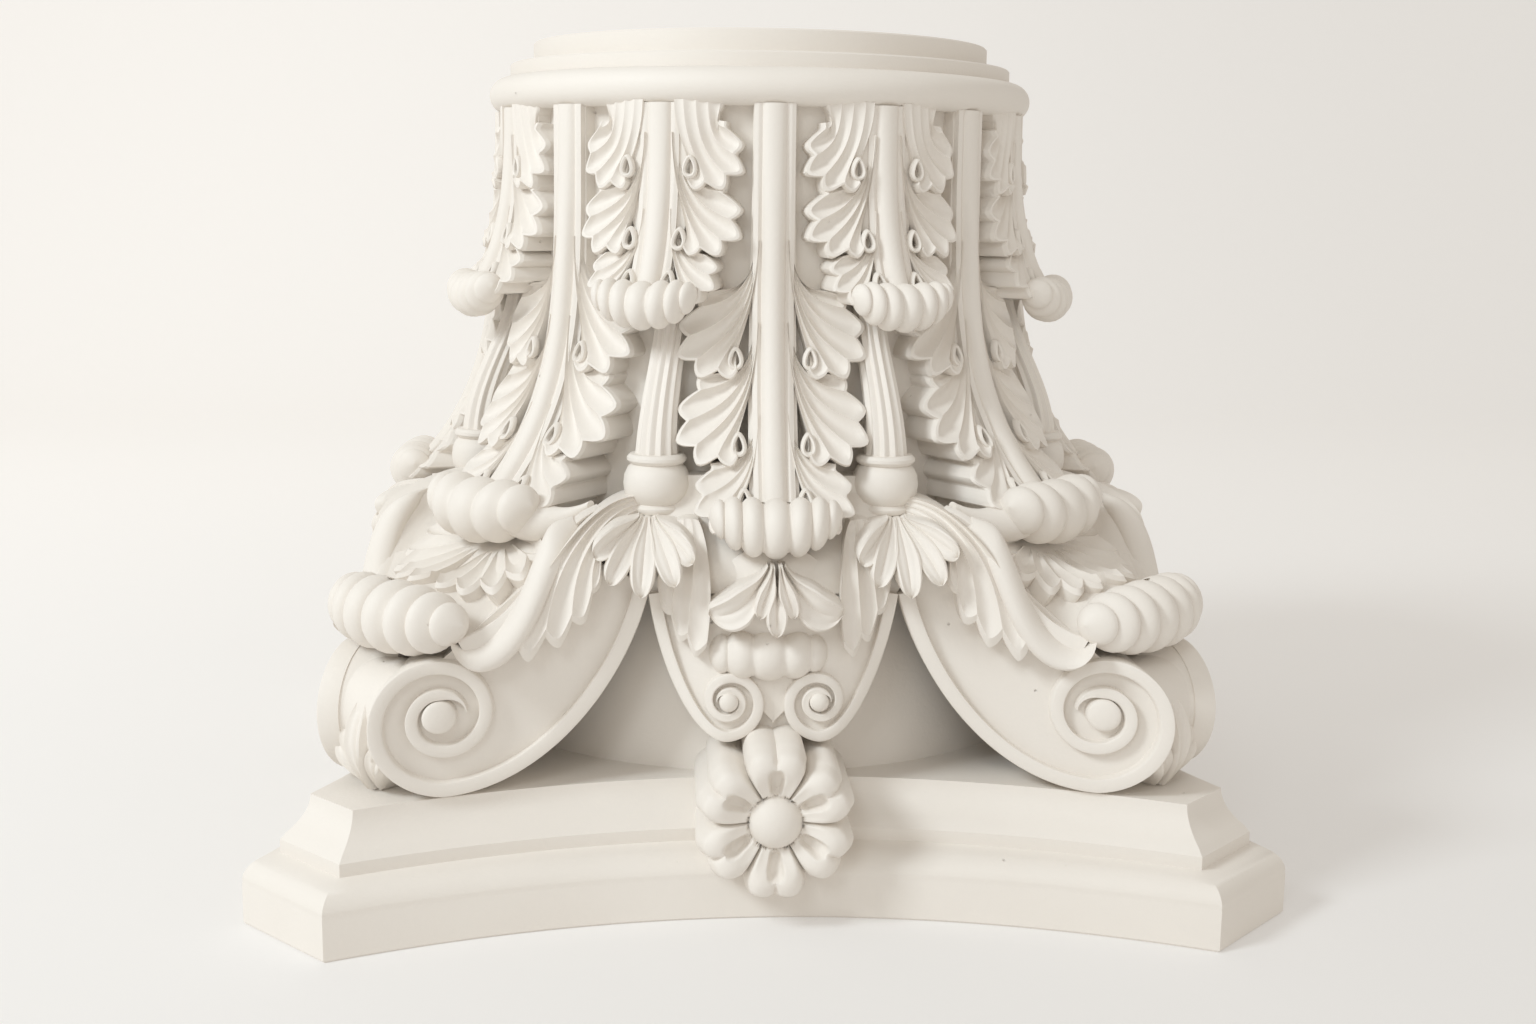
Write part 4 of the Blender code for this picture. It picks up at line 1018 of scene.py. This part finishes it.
def bud():
    """The small bowl leaf in the middle of a side: the bowl, its rolled tip and its flower."""
    skin = Skin()
    angle = np.linspace(0.0, tau, 72, endpoint=False)
    share = np.linspace(0.0, 1.0, 14)[:, None]
    skin.cushion(at_front(BUD_OUT + BUD_BULGE * (1.0 - share ** 2),
                          BUD_HALF_WIDTH * share * np.cos(angle),
                          BUD_CENTRE + BUD_HALF_HEIGHT * share * np.sin(angle)), into_wall)
    place_roll(skin, roll_rings(**BUD_ROLL), BUD_ROLL_OUT, BUD_ROLL_HEIGHT, BUD_ROLL_ACROSS)
    for hand in (1.0, -1.0):
        mirror = np.array((hand, 1.0, 1.0))
        petal(skin, mirror * BUD_WIDE_PETAL, (0.35, 0.0, hand * 0.93), FORWARD, *BUD_WIDE_SIZES)
        petal(skin, mirror * BUD_SLIM_PETAL, (0.96, 0.0, hand * 0.25), FORWARD, *BUD_SLIM_SIZES)
    petal(skin, BUD_MIDDLE_PETAL, SIDEWAYS, FORWARD, *BUD_MIDDLE_SIZES)
    return skin


# The upright leaf's side petals, as (tip across, height of root, height of tip)
SADDLE_PETALS = ((0.016, 0.070, 0.100), (0.011, 0.078, 0.116))
SADDLE_MIDDLE_PETAL = ((0.0, -0.306, 0.070), (0.0, -0.316, 0.088), (0.0, -0.316, 0.106),
                       (0.0, -0.306, 0.124))
SADDLE_SIDE_SIZES = (0.0070, 0.0026, 0.028)
SADDLE_MIDDLE_SIZES = (0.0075, 0.0026, 0.028)


def saddle_leaf():
    """The small upright leaf between the two volutes of a corner."""
    skin = Skin()
    for tip, low, high in SADDLE_PETALS:
        for hand in (1.0, -1.0):
            line = ((0.003 * hand, -0.302, low), (0.6 * tip * hand, -0.312, low + 0.012),
                    (0.9 * tip * hand, -0.314, low + 0.022), (tip * hand, -0.306, high))
            petal(skin, line, (0.93, 0.0, -0.35 * hand), FORWARD, *SADDLE_SIDE_SIZES)
    petal(skin, SADDLE_MIDDLE_PETAL, SIDEWAYS, FORWARD, *SADDLE_MIDDLE_SIZES)
    return skin


def rosette():
    """The flower on the middle of a side: six double-lobed petals round a dome.

    place runs from -1 to 1 across each petal. Each petal swells to two balls near its tip, with
    a drop-shaped hollow and a cleft between them and a gap to the next petal.
    """
    skin = Skin()
    angle = np.linspace(0.0, tau, 240, endpoint=False)[None, :]
    share = np.linspace(0.0, 1.0, 44)[:, None]
    place = np.mod(ROSETTE_PETALS * (angle + 0.5 * pi) / tau + 0.5, 1.0) * 2.0 - 1.0
    off = np.abs(place)
    edge = ROSETTE_RADIUS * (0.945 + 0.055 * np.sin(pi * np.clip(off / 0.8, 0.0, 1.0))
                            - 0.20 * np.clip((off - 0.5) / 0.5, 0.0, 1.0) ** 2.5)
    radius = edge * share
    ball = np.exp(-(np.clip((off - 0.42) / 0.58, 0.0, None) ** 2 * 0.6
                    + np.clip((0.40 - off) / 0.40, 0.0, None) ** 2 * 0.20
                    + ((share - 0.74) / 0.30) ** 2))
    far = np.clip((share - 0.56) / 0.19, 0.0, None)
    drop = smooth((1.0 - (off / 0.38) ** 2 - far ** 2) / 0.8) * smooth((share - 0.33) / 0.12)
    cleft = np.exp(-(off / 0.07) ** 2) * smooth((share - 0.76) / 0.12)
    gap = np.exp(-((1.0 - off) / 0.065) ** 2) * smooth((share - 0.3) / 0.2)
    round_edge = smooth((share - 0.86) / 0.14) ** 2
    dome = DOME_RISE * np.sqrt(np.clip(1.0 - (radius / DOME_RADIUS) ** 2, 0.0, 1.0))
    inside = smooth((0.0155 - radius) / 0.0012)
    petals = 0.003 + 0.0090 * ball - 0.0060 * drop - 0.0020 * cleft - 0.0050 * gap \
        - 0.009 * round_edge
    front = ROSETTE_OUT + petals * (1.0 - inside) + dome * inside
    points = at_front(front, radius * np.cos(angle), ROSETTE_CENTRE + radius * np.sin(angle))
    skin.cushion(points, lambda edge: at_front(ROSETTE_BACK, edge[:, 0], edge[:, 2]))
    return skin


class Wire:
    """A socket that takes part in arithmetic: each operation adds its Math node."""

    def __init__(self, tree, socket):
        self.tree = tree
        self.socket = socket

    def math(self, operation, first, second=0.0):
        """The Math node for an operation on two values or wires."""
        return self.node("ShaderNodeMath", {"operation": operation}, {0: first, 1: second})[0]

    def node(self, kind, settings, inputs):
        """Add a node, set it, feed its inputs and give its outputs as wires."""
        node = self.tree.nodes.new(kind)
        for name, value in settings.items():
            setattr(node, name, value)
        for key, value in inputs.items():
            if isinstance(value, Wire):
                self.tree.links.new(value.socket, node.inputs[key])
            else:
                node.inputs[key].default_value = value
        return [Wire(self.tree, socket) for socket in node.outputs]

    def __add__(self, other):
        return self.math("ADD", self, other)

    def __sub__(self, other):
        return self.math("SUBTRACT", self, other)

    def __mul__(self, other):
        return self.math("MULTIPLY", self, other)

    def __rsub__(self, other):
        return self.math("SUBTRACT", other, self)

    def __gt__(self, other):
        return self.math("GREATER_THAN", self, other)

    __radd__ = __add__
    __rmul__ = __mul__


def plaster_material():
    """Warm off-white plaster: faint clouds of tone, chalky grain, sparse air pits with painted
    shade.

    A pit is a round hollow about some cell points, where their distance is small and a
    second noise lets few of them through.
    """
    material = bpy.data.materials.new("plaster")
    material.use_nodes = True
    tree = material.node_tree
    shader = tree.nodes["Principled BSDF"]
    start = Wire(tree, None)
    place = start.node("ShaderNodeTexCoord", {}, {})[3]
    cloud = start.node("ShaderNodeTexNoise", {}, {"Vector": place, "Scale": CLOUD_SCALE,
                                                  "Detail": 3.0, "Roughness": 0.55})[0]
    grain = start.node("ShaderNodeTexNoise", {}, {"Vector": place, "Scale": GRAIN_SCALE,
                                                  "Detail": 2.0})[0]
    cells = start.node("ShaderNodeTexVoronoi", {}, {"Vector": place, "Scale": PIT_SCALE})
    kept = start.node("ShaderNodeSeparateColor", {}, {0: cells[1]})[0] > PITS_LEFT_OUT
    pit = kept * start.math("MAXIMUM", 1.0 - cells[0] * (1.0 / PIT_SHARE), 0.0)
    height = grain * GRAIN_HEIGHT + cloud * CLOUD_HEIGHT - pit * PIT_DEPTH
    bump = start.node("ShaderNodeBump", {}, {"Strength": 1.0, "Distance": 1.0,
                                             "Height": height})[0]
    # Clouds give the plaster's own tone; the darkening in the pits is painted shade in their
    # hollows
    colour_with_painted_shade = start.node("ShaderNodeMix", {"data_type": "RGBA"}, {
        0: cloud * CLOUD_TONE + pit * PIT_PAINTED_SHADE, 6: PLASTER_LIGHT, 7: PLASTER_DARK})[2]
    tree.links.new(colour_with_painted_shade.socket, shader.inputs["Base Color"])
    tree.links.new(bump.socket, shader.inputs["Normal"])
    roughness = grain * GRAIN_ROUGHNESS + PLASTER_ROUGHNESS
    tree.links.new(roughness.socket, shader.inputs["Roughness"])
    return material


def placed(name, data, right, up, behind, place):
    """Put a camera or a lamp at a place, with its three axes given."""
    thing = bpy.data.objects.new(name, data)
    bpy.context.scene.collection.objects.link(thing)
    columns = np.array([right, up, behind, place]).T
    thing.matrix_world = Matrix([list(row) for row in columns] + [[0.0, 0.0, 0.0, 1.0]])
    return thing


def camera():
    """The camera at the photograph's place."""
    data = bpy.data.cameras.new("camera")
    data.lens = CAMERA_LENS
    data.sensor_width = CAMERA_FILM
    bpy.context.scene.camera = placed("camera", data, CAMERA_RIGHT, CAMERA_UP,
                                      -np.array(CAMERA_FORWARD), CAMERA_PLACE)


def floor_material():
    """Pale floor with painted shade near the camera and to the far right, and a faint glow."""
    material = bpy.data.materials.new("floor")
    material.use_nodes = True
    tree = material.node_tree
    shader = tree.nodes["Principled BSDF"]
    start = Wire(tree, None)
    place = start.node("ShaderNodeTexCoord", {}, {})[3]
    across, depth = start.node("ShaderNodeSeparateXYZ", {}, {0: place})[:2]
    # Where the painted shade falls: towards the camera, and towards the far right
    far, right = (
        start.node("ShaderNodeMapRange", {"interpolation_type": "SMOOTHSTEP"},
                   {0: value, 1: low, 2: high})[0]
        for value, low, high in ((depth, FLOOR_NEAR_Y, FLOOR_FAR_Y),
                                 (across, FLOOR_LEFT_X, FLOOR_RIGHT_X)))
    back = start.node("ShaderNodeMix", {"data_type": "RGBA"},
                      {0: right, 6: FLOOR_FAR, 7: FLOOR_FAR_RIGHT_PAINTED_SHADE})[2]
    colour_with_painted_shade = start.node("ShaderNodeMix", {"data_type": "RGBA"}, {0: far, 6: FLOOR_NEAR_PAINTED_SHADE, 7: back})[2]
    tree.links.new(colour_with_painted_shade.socket, shader.inputs["Base Color"])
    shader.inputs["Roughness"].default_value = FLOOR_ROUGHNESS
    shader.inputs["Emission Color"].default_value = FLOOR_GLOW
    shader.inputs["Emission Strength"].default_value = FLOOR_GLOW_STRENGTH
    return material


def floor():
    """A plain sheet, level to 2 m behind the capital, that sweeps up there into a backdrop."""
    across = np.linspace(-4.0, 4.0, 9)[None, :]
    run = np.linspace(0.0, 1.0, 60)[:, None]
    depth = np.where(run < 0.5, -3.0 + 10.0 * run, 2.0 + 1.5 * np.sin((run - 0.5) * pi))
    rise = np.where(run < 0.5, 0.0, 1.5 * (1.0 - np.cos((run - 0.5) * pi)) * 2.0)
    points = np.stack(np.broadcast_arrays(across, depth, rise), axis=-1)
    index = np.arange(points[..., 0].size).reshape(points.shape[:2])
    mesh = bpy.data.meshes.new("floor")
    mesh.from_pydata(points.reshape(-1, 3).tolist(), [], grid_quads(index)[:, ::-1].tolist())
    mesh.shade_smooth()
    thing = bpy.data.objects.new("floor", mesh)
    bpy.context.scene.collection.objects.link(thing)
    mesh.materials.append(floor_material())


def lamp(name, place, size, power, colour):
    """A square lamp at a place, turned to the capital."""
    data = bpy.data.lights.new(name, "AREA")
    data.shape = "SQUARE"
    data.size = size
    data.energy = power
    data.color = colour
    aim = np.array(LAMPS_AIM) - np.array(place)
    aim /= np.linalg.norm(aim)
    side = np.cross(aim, (0.0, 0.0, 1.0))
    side /= np.linalg.norm(side)
    placed(name, data, side, np.cross(side, aim), -aim, place)


def stage():
    """The floor, soft light from the left, and a little light from all round."""
    floor()
    for row in LAMPS:
        lamp(*row)
    world = bpy.data.worlds.new("world")
    world.use_nodes = True
    background = world.node_tree.nodes["Background"]
    background.inputs["Color"].default_value = ROUND_LIGHT
    background.inputs["Strength"].default_value = ROUND_LIGHT_STRENGTH
    bpy.context.scene.world = world


camera()
stage()
bpy.context.scene.view_settings.view_transform = "Standard"
plaster = plaster_material()
bell().piece("bell", plaster)
abacus().piece("abacus", plaster)
leaf(SMALL_ROW).spun(LEAVES_IN_ROW, SMALL_ROW["turn"]).piece("small_leaves", plaster)
leaf(TALL_ROW).spun(4).piece("tall_leaves", plaster)
leaf(CORNER_ROW).spun(4, 45.0).piece("corner_tall_leaves", plaster)
volute().mirrored().spun(4).piece("volutes", plaster)
helix().mirrored().join(bud()).spun(4).piece("helices", plaster)
lobes = lobe(OUTER_LOBE, face_depth, OUTER_LOBE_LIFT, OUTER_LOBE_DEPTH)
lobes.join(lobe(INNER_LOBE, helix_depth, INNER_LOBE_LIFT, INNER_LOBE_DEPTH))
lobes.mirrored().spun(4).piece("lobes", plaster)
saddle().join(corner_leaf()).join(corner_fans()).join(saddle_leaf()).spun(4, 45.0).piece(
    "corners", plaster)
stalk().spun(1, STALK_TURN).join(calyx()).mirrored().spun(4).piece("stalks", plaster)
rosette().spun(4).piece("rosettes", plaster)
